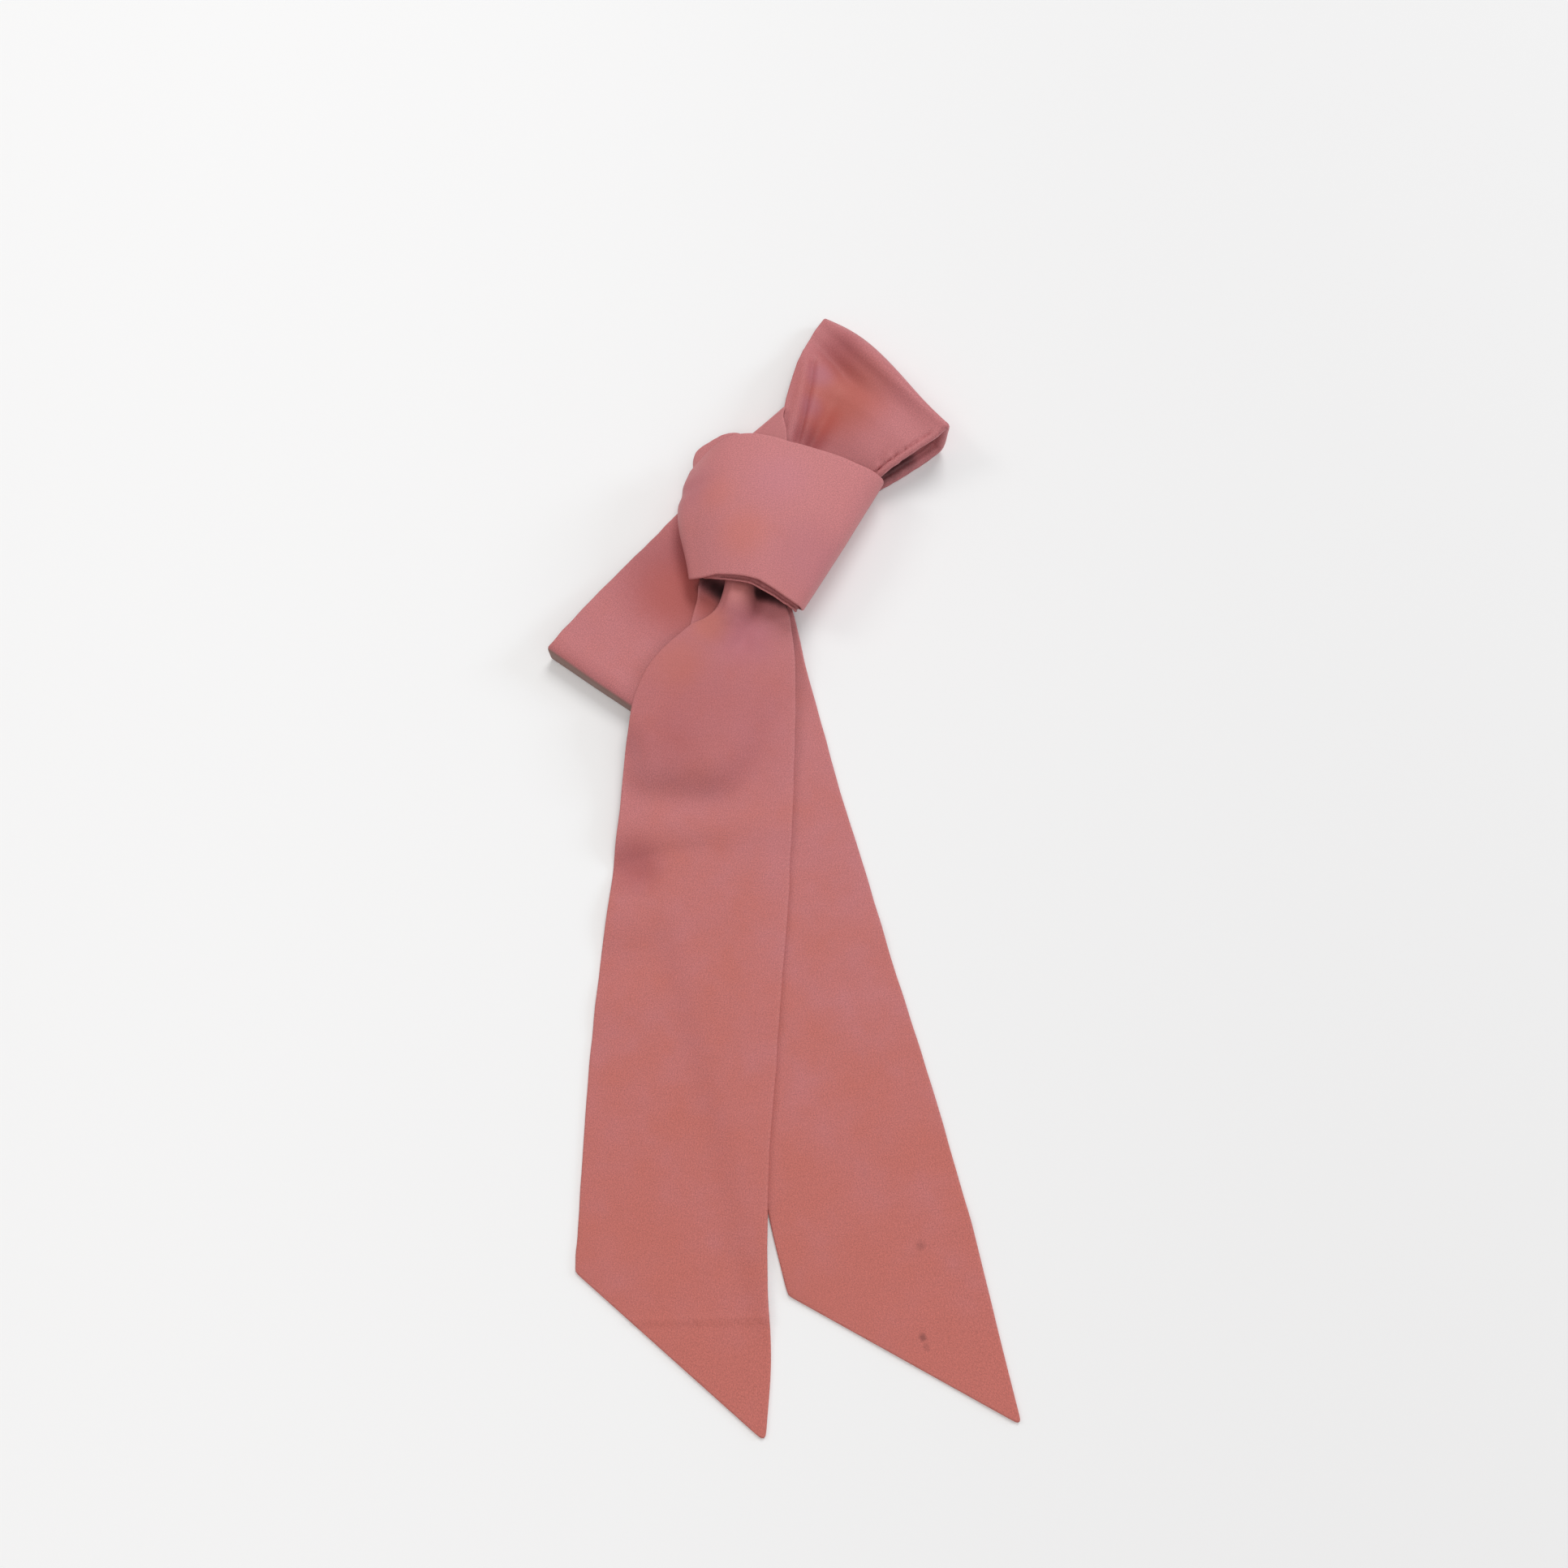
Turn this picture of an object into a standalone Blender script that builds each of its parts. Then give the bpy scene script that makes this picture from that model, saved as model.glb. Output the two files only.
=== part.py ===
"""A neck scarf tied like a necktie and laid flat.

The scarf is one flat tube of crepe, 75 mm wide, with slanted ends. Every stretch of it that shows is
an open band given a wall. A band is a table of sections: each row runs straight across the cloth
from one seam edge to the other, and the rows follow each other along the cloth.

The tables are in millimetres on the table top: x to the right, y away from the tails' ends and z up
from the surface on which the scarf lies.
"""

from collections import namedtuple

import bpy
import numpy as np

# Driving sizes, in millimetres
MM = 0.001
CLOTH_WALL = 1.2
LAYER_GAP = 0.35
SEAM_GAP = 0.3
CENTRE_X = 0.36
CENTRE_Y = -1.35

# How far cloth spans a step in what lies under it, and how soft the bend is
SPAN_REACH = 10
SPAN_SOFTNESS = 9
SETTLING_PASSES = 2

# The shape of a pressed fold: 1 is half an ellipse, less is a flat side between two tighter bends
FOLD_ROUNDNESS = 0.55

# The rose crepe, and how far one stretch differs from the next
ROSE = (0.50, 0.160, 0.155)
ROUGHNESS = 0.78
TONE_STEP = 0.03

# A section across a band: seam edge a, seam edge b, and its crown's height, place and sharpness
CROWN_DEFAULTS = (0.0, 0.5, 1.0)
Section = namedtuple("Section", "ax ay az bx by bz crown peak pinch", defaults=CROWN_DEFAULTS)

# A soft ridge or trough: its two ends, its height at each, its half width, the share of the band past
# which it fades out, and its squareness, which is 2 for a rounded form and more for steep sides
Crease = namedtuple("Crease", "x0 y0 x1 y1 first last width upto squareness", defaults=(1.1, 2.0))
FADE_SHARE = 0.05
CREASE_END = 1.5

# The front tail, from its gathered neck in the knot to its slanted end. Edge a is on the left
FRONT_TAIL = [
    Section(-17.5, 112.4, 9.4, 2.0, 112.4, 6.2),
    Section(-18.4, 106.5, 9.6, 4.0, 105.5, 6.8),
    Section(-19.2, 101.5, 9.9, 5.6, 100.4, 8.8, 0.6),
    Section(-20.4, 97.2, 10.2, 7.6, 95.8, 9.8, 1.2, 0.30, 1.5),
    Section(-21.8, 93.0, 10.2, 9.0, 91.2, 9.2, 2.6, 0.30, 1.8),
    Section(-23.4, 89.6, 10.0, 9.8, 88.0, 8.4, 3.8, 0.32, 1.8),
    Section(-27.7, 87.3, 9.9, 10.2, 85.2, 8.0, 4.0, 0.36, 1.7),
    Section(-33.0, 86.4, 9.9, 10.6, 82.4, 7.7, 3.8, 0.42, 1.6),
    Section(-38.0, 81.6, 9.8, 11.2, 78.0, 7.2, 3.2, 0.45, 1.5),
    Section(-46.4, 72.2, 9.6, 11.8, 69.5, 6.5, 2.0, 0.48, 1.2),
    Section(-52.6, 63.4, 9.4, 12.0, 62.5, 5.6, 1.2, 0.50, 1.1),
    Section(-56.8, 52.8, 9.6, 12.1, 54.0, 4.6, 0.8),
    Section(-60.0, 34.6, 7.2, 11.8, 38.0, 3.4, 0.4),
    Section(-61.4, 20.0, 5.3, 11.4, 22.0, 2.8),
    Section(-62.6, 5.0, 4.9, 10.9, 6.0, 2.8),
    Section(-64.0, -9.0, 5.0, 10.4, -6.0, 3.2),
    Section(-65.0, -19.5, 1.2, 9.8, -16.0, 1.6),
    Section(-65.8, -30.0, 1.7, 9.3, -31.0, 1.6),
    Section(-66.7, -42.0, 2.6, 8.5, -43.0, 1.8),
    Section(-68.3, -57.0, 0.8, 7.4, -58.0, 0.6),
    Section(-69.5, -61.6, 0.0, 7.0, -62.0, 0.0),
    Section(-72.6, -108.0, 0.0, 3.6, -109.0, 0.0),
    Section(-74.1, -150.0, 0.0, 0.8, -152.0, 0.0),
    Section(-74.8, -171.0, 0.0, 0.6, -190.0, 0.0),
    Section(-75.2, -181.0, 0.0, 1.9, -222.0, 0.0),
    Section(-75.0, -187.0, 0.0, -0.8, -245.0, 0.0),
]

# Its gathered tube in the knot, the hollow beside that, and the bends over what lies below
FRONT_TAIL_CREASES = [
    Crease(-12.2, 114.0, -13.0, 99.5, 8.0, 6.2, 6.0, squareness=4.0),
    Crease(-15.5, 92.0, -27.0, 80.0, 2.2, 0.6, 5.5),
    Crease(-4.8, 98.0, -14.0, 66.0, -1.2, -0.7, 4.0),
    Crease(-66.0, -20.5, -26.0, -12.5, -1.4, -0.5, 5.0),
]

# The back tail, from the knot to its slanted end. Edge a is on the left
BACK_TAIL = [
    Section(-25.0, 112.4, 4.0, 3.0, 112.4, 4.4),
    Section(-29.4, 104.0, 4.2, 7.6, 103.4, 4.4),
    Section(-31.2, 98.0, 6.6, 9.8, 97.0, 4.8, 0.4),
    Section(-32.4, 93.0, 7.0, 11.5, 91.8, 4.8, 0.4),
    Section(-35.0, 82.0, 0.0, 13.8, 81.5, 3.6),
    Section(-41.5, 65.0, 0.0, 17.2, 66.0, 2.0),
    Section(-47.0, 37.0, 0.0, 22.6, 46.0, 0.0),
    Section(-43.5, 1.0, 0.0, 30.0, 16.0, 0.0),
    Section(-33.0, -37.0, 0.0, 39.3, -16.0, 0.0),
    Section(-20.5, -81.0, 0.0, 51.5, -60.2, 0.0),
    Section(-7.2, -128.0, 0.0, 65.6, -108.0, 0.0),
    Section(2.0, -169.0, 0.0, 76.6, -148.5, 0.0),
    Section(6.0, -184.5, 0.0, 83.3, -175.0, 0.0),
    Section(7.6, -191.0, 0.0, 90.8, -209.0, 0.0),
    Section(9.0, -195.0, 0.0, 96.6, -239.4, 0.0),
]

# The neck ring's lower left end, from under the knot out to the fold. Edge a is the upper left one
LOWER_LOOP_TOP = [
    Section(-27.0, 156.0, 2.1, 5.0, 106.0, 2.1),
    Section(-34.0, 149.0, 2.2, -2.0, 96.0, 2.2),
    Section(-41.4, 142.0, 2.6, -8.0, 82.0, 2.4),
    Section(-50.2, 130.8, 4.6, -14.0, 70.0, 4.2, 0.4),
    Section(-67.0, 110.2, 8.0, -24.0, 53.0, 5.4, 0.8),
    Section(-88.0, 84.6, 10.2, -32.0, 41.2, 5.5, 0.8),
]
LOWER_LOOP_FOLD = [
    Section(-94.2, 76.6, 10.2, -35.8, 35.4, 5.4, 0.6),
    Section(-95.2, 74.6, 5.4, -36.6, 33.0, 3.0),
    Section(-91.8, 76.4, 0.6, -34.6, 36.0, 0.6),
]
LOWER_LOOP_UNDER = [
    Section(-74.0, 99.5, 0.6, -26.0, 52.0, 0.6),
    Section(-46.0, 131.0, 0.6, -14.0, 74.0, 0.6),
]

# The ring's stretch under the knot, between the two loops' lower panels
RING_BACK_MIDDLE = [
    Section(-24.0, 155.0, 0.6, 12.0, 104.0, 0.6),
    Section(-7.0, 171.0, 0.6, 31.0, 130.0, 0.6),
]

# The neck ring's upper right end, from the knot out to the raised fold. Edge a is the open right side
UPPER_LOOP_TOP = [
    Section(35.0, 145.5, 7.0, 6.5, 166.0, 12.0, 1.0),
    Section(44.0, 153.0, 9.5, 5.6, 178.0, 12.6, 1.2),
    Section(54.0, 160.3, 14.2, 7.6, 194.0, 11.8, 1.0),
    Section(62.9, 166.1, 17.0, 13.6, 217.0, 9.4, 0.6),
]
UPPER_LOOP_FOLD = [
    Section(77.6, 176.0, 20.0, 23.4, 238.6, 4.9, 1.5, 0.60),
    Section(80.2, 177.6, 12.0, 25.6, 241.6, 2.7, 4.0, 0.62),
    Section(76.6, 174.6, 0.6, 22.4, 236.8, 0.6),
]
UPPER_LOOP_UNDER = [
    Section(62.0, 163.0, 0.6, 13.5, 214.0, 0.6),
    Section(46.0, 152.0, 0.6, 7.0, 182.0, 0.6),
]

# The long valley in its top panel, the hollow at the valley's far end and the folds towards the knot
UPPER_LOOP_CREASES = [
    Crease(29.0, 228.0, 43.0, 212.0, -2.0, -3.5, 7.0, 0.47),
    Crease(44.0, 211.0, 25.0, 176.0, -4.5, -6.5, 12.5, 0.47),
    Crease(35.0, 202.0, 19.0, 172.0, -1.0, -4.0, 5.5, 0.47),
    Crease(60.0, 188.0, 42.0, 162.0, 0.6, 1.2, 8.0, 0.47),
]

# The knot's front panel, from its rolled left side to its right one. Edge a is the lower seam edge
KNOT_FRONT = [
    Section(-26.5, 110.5, 5.0, -26.0, 152.0, 4.2),
    Section(-32.6, 108.5, 7.6, -34.2, 155.0, 6.4, 2.5, 0.60),
    Section(-34.2, 105.6, 12.5, -35.4, 157.6, 10.0, 5.0, 0.60),
    Section(-28.9, 103.9, 17.8, -30.4, 162.3, 15.0, 5.0, 0.60),
    Section(-21.4, 103.5, 22.5, -22.0, 168.2, 20.6, 4.0, 0.55),
    Section(-8.0, 101.1, 25.2, -9.6, 171.4, 23.5, 3.0),
    Section(2.0, 96.4, 24.0, 13.0, 165.6, 24.8, 2.5),
    Section(9.0, 92.2, 21.6, 33.0, 159.2, 23.8, 2.2),
    Section(13.4, 90.3, 18.4, 46.6, 154.2, 20.2, 1.8),
    Section(14.9, 91.0, 13.0, 51.1, 153.4, 14.0, 0.6),
    Section(13.6, 94.6, 5.5, 49.0, 153.0, 5.6),
    Section(10.0, 98.0, 2.6, 44.0, 150.6, 2.6),
    Section(4.0, 101.5, 2.4, 37.5, 147.6, 2.4),
]

# The first turn, just inside the front panel. Edge a shows under the panel's lower edge
KNOT_INNER_WRAP = [
    Section(-27.0, 109.5, 9.0, -31.0, 159.0, 7.2, 0.8, 0.40),
    Section(-28.0, 106.6, 12.4, -33.6, 164.4, 9.0, 1.8, 0.40),
    Section(-25.6, 104.6, 16.6, -32.6, 169.0, 10.2, 2.5, 0.45),
    Section(-19.2, 102.2, 20.0, -26.0, 173.2, 12.8, 3.5),
    Section(-9.0, 99.4, 22.2, -16.0, 175.6, 16.4, 3.0),
    Section(-0.6, 95.2, 21.0, -2.0, 168.0, 19.6, 1.5),
    Section(5.6, 92.3, 18.0, 16.0, 155.0, 20.0, 1.5),
    Section(10.2, 90.6, 13.5, 32.0, 143.0, 16.5, 1.2),
    Section(11.9, 91.0, 9.0, 38.5, 139.0, 10.0, 0.5),
]

# The stretch that rolls over the knot's upper edge. Edge a is the hem that lies on the upper loop
TOP_STRAND_FOLD = [
    Section(1.5, 183.0, 0.6, -14.0, 168.4, 0.6),
    Section(5.2, 190.0, 8.4, -17.0, 170.0, 7.6),
    Section(5.7, 187.0, 14.4, -14.6, 167.0, 12.4, 0.4),
]
TOP_STRAND_OVER = [
    Section(7.4, 177.0, 15.0, -12.0, 160.0, 13.6, 0.6),
    Section(7.8, 166.0, 15.6, -10.0, 152.0, 14.4, 0.4),
]

# The hidden layers: an upright ring between the lower and the upper side, from left to right
CoreSection = namedtuple("CoreSection", "ax ay bx by low high")
KNOT_CORE = [
    CoreSection(-19.5, 121.0, -20.5, 141.0, 6.0, 11.0),
    CoreSection(-18.0, 115.5, -19.0, 146.0, 3.6, 15.5),
    CoreSection(-12.0, 113.2, -12.0, 148.5, 3.2, 18.0),
    CoreSection(0.0, 113.0, 3.0, 146.0, 3.2, 18.6),
    CoreSection(9.0, 109.0, 17.0, 140.0, 3.2, 16.0),
    CoreSection(14.5, 111.0, 25.0, 134.0, 3.4, 11.5),
    CoreSection(18.0, 116.0, 26.0, 130.0, 4.6, 8.6),
]
CORE_LAYERS = 3
CORE_GROOVE = 1.2
CORE_SQUARENESS = 2.8


class TableTop:
    """The height of everything laid so far, on a grid over the table."""

    CELL = 1.0
    HALF_X = 120
    HALF_Y = 270

    def __init__(self):
        size = (2 * self.HALF_X + 1, 2 * self.HALF_Y + 1)
        self.height = np.zeros(size)
        self.soft = self.height

    def cells(self, x, y):
        """Grid places of points on the table, as fractions."""
        return x / self.CELL + self.HALF_X, y / self.CELL + self.HALF_Y

    def stamp(self, grid):
        """Lay a band's grid of points down, with its wall and the gap that the next layer keeps."""
        fine = refined(refined(refined(grid)))
        column, row = self.cells(fine[..., 0], fine[..., 1])
        top = fine[..., 2] + CLOTH_WALL / 2 + LAYER_GAP
        index = (np.rint(column).astype(int), np.rint(row).astype(int))
        np.maximum.at(self.height, index, top)
        self.soft = self.softened()

    def softened(self):
        """The heights as cloth spans them: widened first, then smoothed by less than that."""
        wide = self.height
        for axis in (0, 1):
            wide = np.max([np.roll(wide, step, axis) for step in reach(SPAN_REACH)], axis=0)
        weights = np.hanning(2 * SPAN_SOFTNESS + 3)[1:-1]
        weights = weights / weights.sum()
        for axis in (0, 1):
            rolled = [weight * np.roll(wide, step, axis)
                      for weight, step in zip(weights, reach(SPAN_SOFTNESS))]
            wide = np.sum(rolled, axis=0)
        return wide

    def under(self, x, y):
        """The softened height at points on the table."""
        column, row = self.cells(x, y)
        left = np.floor(column).astype(int)
        low = np.floor(row).astype(int)
        s = column - left
        t = row - low
        near = self.soft[left, low] * (1 - s) + self.soft[left + 1, low] * s
        far = self.soft[left, low + 1] * (1 - s) + self.soft[left + 1, low + 1] * s
        return near * (1 - t) + far * t


def reach(cells):
    """The steps of a window that reaches so many cells each way."""
    return range(-cells, cells + 1)


def refined(grid):
    """A grid of points with one more between each two."""
    rows = np.empty((2 * grid.shape[0] - 1, grid.shape[1], 3))
    rows[::2] = grid
    rows[1::2] = (grid[1:] + grid[:-1]) / 2
    full = np.empty((rows.shape[0], 2 * grid.shape[1] - 1, 3))
    full[:, ::2] = rows
    full[:, 1::2] = (rows[:, 1:] + rows[:, :-1]) / 2
    return full


def half_turn(first, tip, last, roundness=1.0, steps=7):
    """The rows of a fold, from one row to another through the tip row."""
    first, tip, last = (np.array(row) for row in (first, tip, last))
    centre = (first + last) / 2
    angles = np.linspace(0, np.pi, steps)
    back = np.sign(np.cos(angles)) * np.abs(np.cos(angles)) ** roundness
    out = np.sin(angles) ** roundness
    return [Section(*(centre + (first - centre) * b + (tip - centre) * o)) for b, o in zip(back, out)]


def moved_towards(row, other, distance):
    """A row shifted along the cloth towards another row."""
    here = np.array(row)
    there = np.array(other)
    step = ((there - here)[0:3] + (there - here)[3:6]) / 2
    step = step * distance / np.linalg.norm(step)
    here[0:3] += step
    here[3:6] += step
    return Section(*here)


def smooth_columns(table, knots, places):
    """Each column of a table at new places, on a curve through its rows."""
    gaps = np.diff(knots)
    slopes = np.diff(table, axis=0) / gaps[:, None]
    tangents = np.empty_like(table)
    tangents[0] = slopes[0]
    tangents[-1] = slopes[-1]
    before = gaps[:-1, None]
    after = gaps[1:, None]
    tangents[1:-1] = (slopes[:-1] * after + slopes[1:] * before) / (before + after)
    index = np.clip(np.searchsorted(knots, places, side="right") - 1, 0, len(gaps) - 1)
    gap = gaps[index][:, None]
    t = ((places - knots[index]) / gaps[index])[:, None]
    start = (2 * t ** 3 - 3 * t ** 2 + 1) * table[index] + (t ** 3 - 2 * t ** 2 + t) * gap * tangents[index]
    end = (3 * t ** 2 - 2 * t ** 3) * table[index + 1] + (t ** 3 - t ** 2) * gap * tangents[index + 1]
    return start + end


def crease_lift(creases, x, y, share):
    """How far a band's creases lift its points, which are at x, y and at a share of its length."""
    total = np.zeros_like(x)
    for crease in creases:
        run = np.array([crease.x1 - crease.x0, crease.y1 - crease.y0])
        length = np.hypot(*run)
        off_x = x - crease.x0
        off_y = y - crease.y0
        along = (off_x * run[0] + off_y * run[1]) / length ** 2
        aside = np.abs(off_x * run[1] - off_y * run[0]) / length
        inside = np.clip(along, 0.0, 1.0)
        past = (along - inside) * length / crease.width
        height = crease.first + (crease.last - crease.first) * inside
        fade = np.clip((crease.upto - share) / FADE_SHARE, 0.0, 1.0)
        slope = np.exp(-(aside / crease.width) ** crease.squareness - (past / CREASE_END) ** 2)
        total += height * slope * fade * fade * (3 - 2 * fade)
    return total


def band_grid(sections, rows, columns, creases=()):
    """The middle surface of a band: a grid of points, with crown and creases along its normals."""
    table = np.array(sections, dtype=float)
    steps = np.linalg.norm(np.diff(table[:, 0:3], axis=0), axis=1)
    steps = steps + np.linalg.norm(np.diff(table[:, 3:6], axis=0), axis=1)
    knots = np.concatenate([[0.0], np.cumsum(steps)])
    places = np.linspace(0.0, knots[-1], rows + 1)
    table = smooth_columns(table, knots, places)
    across = np.linspace(0.0, 1.0, columns + 1)[None, :, None]
    flat = table[:, None, 0:3] * (1 - across) + table[:, None, 3:6] * across
    normals = np.cross(np.gradient(flat, axis=0), np.gradient(flat, axis=1))
    normals = normals / np.linalg.norm(normals, axis=2, keepdims=True)
    skew = np.log(0.5) / np.log(table[:, 7])
    arch = np.sin(np.pi * across[:, :, 0] ** skew[:, None])
    lift = table[:, 6, None] * arch ** table[:, 8, None]
    share = np.repeat(places[:, None] / knots[-1], columns + 1, axis=1)
    lift = lift + crease_lift(creases, flat[..., 0], flat[..., 1], share)
    grid = flat + lift[:, :, None] * normals
    grid[..., 2] = np.maximum(grid[..., 2], CLOTH_WALL / 2)
    return grid


def laid_grid(sections, rows, columns, table_top, creases=()):
    """A band that rests on the table or on what lies there already, wherever its rows are lower."""
    grid = band_grid(sections, rows, columns)
    resting = table_top.under(grid[..., 0], grid[..., 1]) + CLOTH_WALL / 2
    lift = np.maximum(grid[..., 2] - resting, 0.0)
    for _ in range(SETTLING_PASSES):
        lift[1:-1] = (lift[:-2] + 2 * lift[1:-1] + lift[2:]) / 4
        lift[:, 1:-1] = (lift[:, :-2] + 2 * lift[:, 1:-1] + lift[:, 2:]) / 4
    lift = lift + crease_lift(creases, grid[..., 0], grid[..., 1], np.zeros_like(lift))
    grid[..., 2] = resting + np.maximum(lift, 0.0)
    return grid


def rose_material(name, tone):
    """The matte crepe, a little lighter or darker from one stretch to the next."""
    material = bpy.data.materials.new(name)
    material.use_nodes = True
    shader = material.node_tree.nodes["Principled BSDF"]
    shader.inputs["Base Color"].default_value = (*[channel * tone for channel in ROSE], 1.0)
    shader.inputs["Roughness"].default_value = ROUGHNESS
    shader.inputs["Metallic"].default_value = 0.0
    return material


def place_mesh(name, points, faces, collection, tone):
    """A named object whose own origin is the middle of its footprint."""
    centre = (points.min(axis=0) + points.max(axis=0)) / 2
    centre[2] = 0.0
    mesh = bpy.data.meshes.new(name)
    mesh.from_pydata(((points - centre) * MM).tolist(), [], faces)
    mesh.shade_smooth()
    mesh.materials.append(rose_material(name + "_crepe", tone))
    piece = bpy.data.objects.new(name, mesh)
    piece.location = (centre - np.array([CENTRE_X, CENTRE_Y, 0.0])) * MM
    collection.objects.link(piece)
    return piece


def add_band(name, grid, collection, tone):
    """A band of cloth: its middle surface as an open mesh, given its wall by Solidify."""
    rows, columns = grid.shape[0], grid.shape[1]
    faces = []
    for row in range(rows - 1):
        for column in range(columns - 1):
            corner = row * columns + column
            faces.append((corner, corner + columns, corner + columns + 1, corner + 1))
    piece = place_mesh(name, grid.reshape(-1, 3), faces, collection, tone)
    wall = piece.modifiers.new("Cloth wall", "SOLIDIFY")
    wall.thickness = CLOTH_WALL * MM
    wall.offset = 0.0
    return piece


def core_points(sections, rows, around):
    """Rings of a rounded lump whose sides are grooved between its layers."""
    table = np.array(sections, dtype=float)
    knots = np.concatenate([[0.0], np.cumsum(np.linalg.norm(np.diff(table, axis=0), axis=1))])
    table = smooth_columns(table, knots, np.linspace(0.0, knots[-1], rows + 1))
    angles = np.linspace(0.0, 2 * np.pi, around, endpoint=False)
    power = 2.0 / CORE_SQUARENESS
    side = np.sign(np.cos(angles)) * np.abs(np.cos(angles)) ** power
    rise = np.sign(np.sin(angles)) * np.abs(np.sin(angles)) ** power
    groove = 0.5 - 0.5 * np.cos(np.pi * CORE_LAYERS * (rise + 1))
    rings = []
    for ax, ay, bx, by, low, high in table:
        middle = np.array([(ax + bx) / 2, (ay + by) / 2])
        half = np.array([bx - ax, by - ay]) / 2
        share = side * (1 - groove * np.abs(side) * CORE_GROOVE / np.linalg.norm(half))
        ring = middle + share[:, None] * half
        heights = (low + high) / 2 + rise * (high - low) / 2
        rings.append(np.column_stack([ring, heights]))
    return np.array(rings)


def add_core(name, rings, collection, tone):
    """The core: its rings joined side by side and closed at both ends."""
    count, around = rings.shape[0], rings.shape[1]
    faces = []
    for ring in range(count - 1):
        for corner in range(around):
            here = ring * around + corner
            following = ring * around + (corner + 1) % around
            faces.append((here, following, following + around, here + around))
    faces.append(tuple(reversed(range(around))))
    last = (count - 1) * around
    faces.append(tuple(last + corner for corner in range(around)))
    return place_mesh(name, rings.reshape(-1, 3), faces, collection, tone)


def build_scarf():
    """Lay the stretches from the table up, and put them all in one collection."""
    collection = bpy.data.collections.new("NeckScarf")
    bpy.context.scene.collection.children.link(collection)

    lower_fold = half_turn(*LOWER_LOOP_FOLD, FOLD_ROUNDNESS)
    upper_fold = half_turn(*UPPER_LOOP_FOLD, FOLD_ROUNDNESS)
    lower_loop = LOWER_LOOP_TOP + lower_fold + LOWER_LOOP_UNDER
    upper_loop = UPPER_LOOP_TOP + upper_fold + UPPER_LOOP_UNDER
    ring_start = moved_towards(LOWER_LOOP_UNDER[-1], RING_BACK_MIDDLE[0], SEAM_GAP)
    upper_end = UPPER_LOOP_UNDER[-1]
    turned = Section(*upper_end[3:6], *upper_end[0:3])
    ring_end = moved_towards(turned, RING_BACK_MIDDLE[-1], SEAM_GAP)
    ring_back = [ring_start] + RING_BACK_MIDDLE + [ring_end]
    top_strand = half_turn(*TOP_STRAND_FOLD) + TOP_STRAND_OVER

    table_top = TableTop()
    grids = {}
    grids["ring_back"] = band_grid(ring_back, 6, 7)
    grids["lower_loop"] = band_grid(lower_loop, 34, 10)
    grids["upper_loop"] = band_grid(upper_loop, 38, 14, UPPER_LOOP_CREASES)
    for name in ("ring_back", "lower_loop"):
        table_top.stamp(grids[name])
    grids["back_tail"] = laid_grid(BACK_TAIL, 46, 10, table_top)
    table_top.stamp(grids["back_tail"])
    grids["front_tail"] = laid_grid(FRONT_TAIL, 84, 14, table_top, FRONT_TAIL_CREASES)
    grids["knot_inner_wrap"] = band_grid(KNOT_INNER_WRAP, 16, 10)
    grids["knot_front"] = band_grid(KNOT_FRONT, 24, 12)
    grids["top_strand"] = band_grid(top_strand, 12, 6)

    for step, (name, grid) in enumerate(grids.items()):
        add_band(name, grid, collection, 1.0 + TONE_STEP * (step % 3 - 1))
    add_core("knot_core", core_points(KNOT_CORE, 12, 20), collection, 1.0 - 2 * TONE_STEP)


def clear_scene():
    """Remove whatever the scene holds."""
    for item in list(bpy.data.objects):
        bpy.data.objects.remove(item, do_unlink=True)


clear_scene()
build_scarf()
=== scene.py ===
"""A neck scarf tied like a necktie and laid flat, dressed as rose crepe.

The scarf is one strip of crepe, folded lengthwise, seamed and turned, so every stretch of it is a flat
tube of two plies with rolled edges. Each stretch is built from a short table of sections across the
strip and a short table of creases. The tables are in millimetres on the table top: x to the right, y
away from the tails' ends and z up from the surface that the scarf lies on.
"""

import logging
import math
from dataclasses import dataclass, field
from enum import Enum
from typing import Iterable, NamedTuple, Sequence

import bpy
import numpy as np
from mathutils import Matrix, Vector


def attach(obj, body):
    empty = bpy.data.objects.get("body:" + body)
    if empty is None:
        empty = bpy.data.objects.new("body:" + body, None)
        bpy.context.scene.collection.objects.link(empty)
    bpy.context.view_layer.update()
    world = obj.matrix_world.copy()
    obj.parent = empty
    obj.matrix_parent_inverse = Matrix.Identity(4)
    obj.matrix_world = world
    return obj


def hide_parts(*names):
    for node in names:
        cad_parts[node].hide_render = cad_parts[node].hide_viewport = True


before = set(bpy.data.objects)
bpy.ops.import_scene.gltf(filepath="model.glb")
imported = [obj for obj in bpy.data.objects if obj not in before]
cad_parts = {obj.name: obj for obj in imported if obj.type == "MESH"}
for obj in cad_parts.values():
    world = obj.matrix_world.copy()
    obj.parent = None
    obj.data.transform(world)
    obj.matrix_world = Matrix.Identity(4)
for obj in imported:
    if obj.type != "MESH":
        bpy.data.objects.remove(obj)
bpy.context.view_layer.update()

LOG = logging.getLogger("neck_scarf")
MM = 0.001

# The middle of the scarf's footprint, in the tables' millimetres
CENTRE = np.array([0.36, -1.35, 0.0])

# How much of a wave pattern one stretch runs through, in millimetres
WAVE_RUN = 900.0

# How many waves add up to an uneven surface, and how short and long they are beside their usual size
WAVE_COUNT = 7
WAVE_SPREAD = (0.6, 1.7)

# How far a crease runs on past its ends, in widths, and the shares over which a crease and a hem fade out
CREASE_END = 1.5
CREASE_FADE = 0.05
HEM_FADE = 0.03

# How high a hem stands on average, how much that swings, and its limits, as shares of its own height
HEM_MEAN = 0.75
HEM_SWING = 0.35
HEM_LIMITS = (0.2, 1.2)

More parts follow.
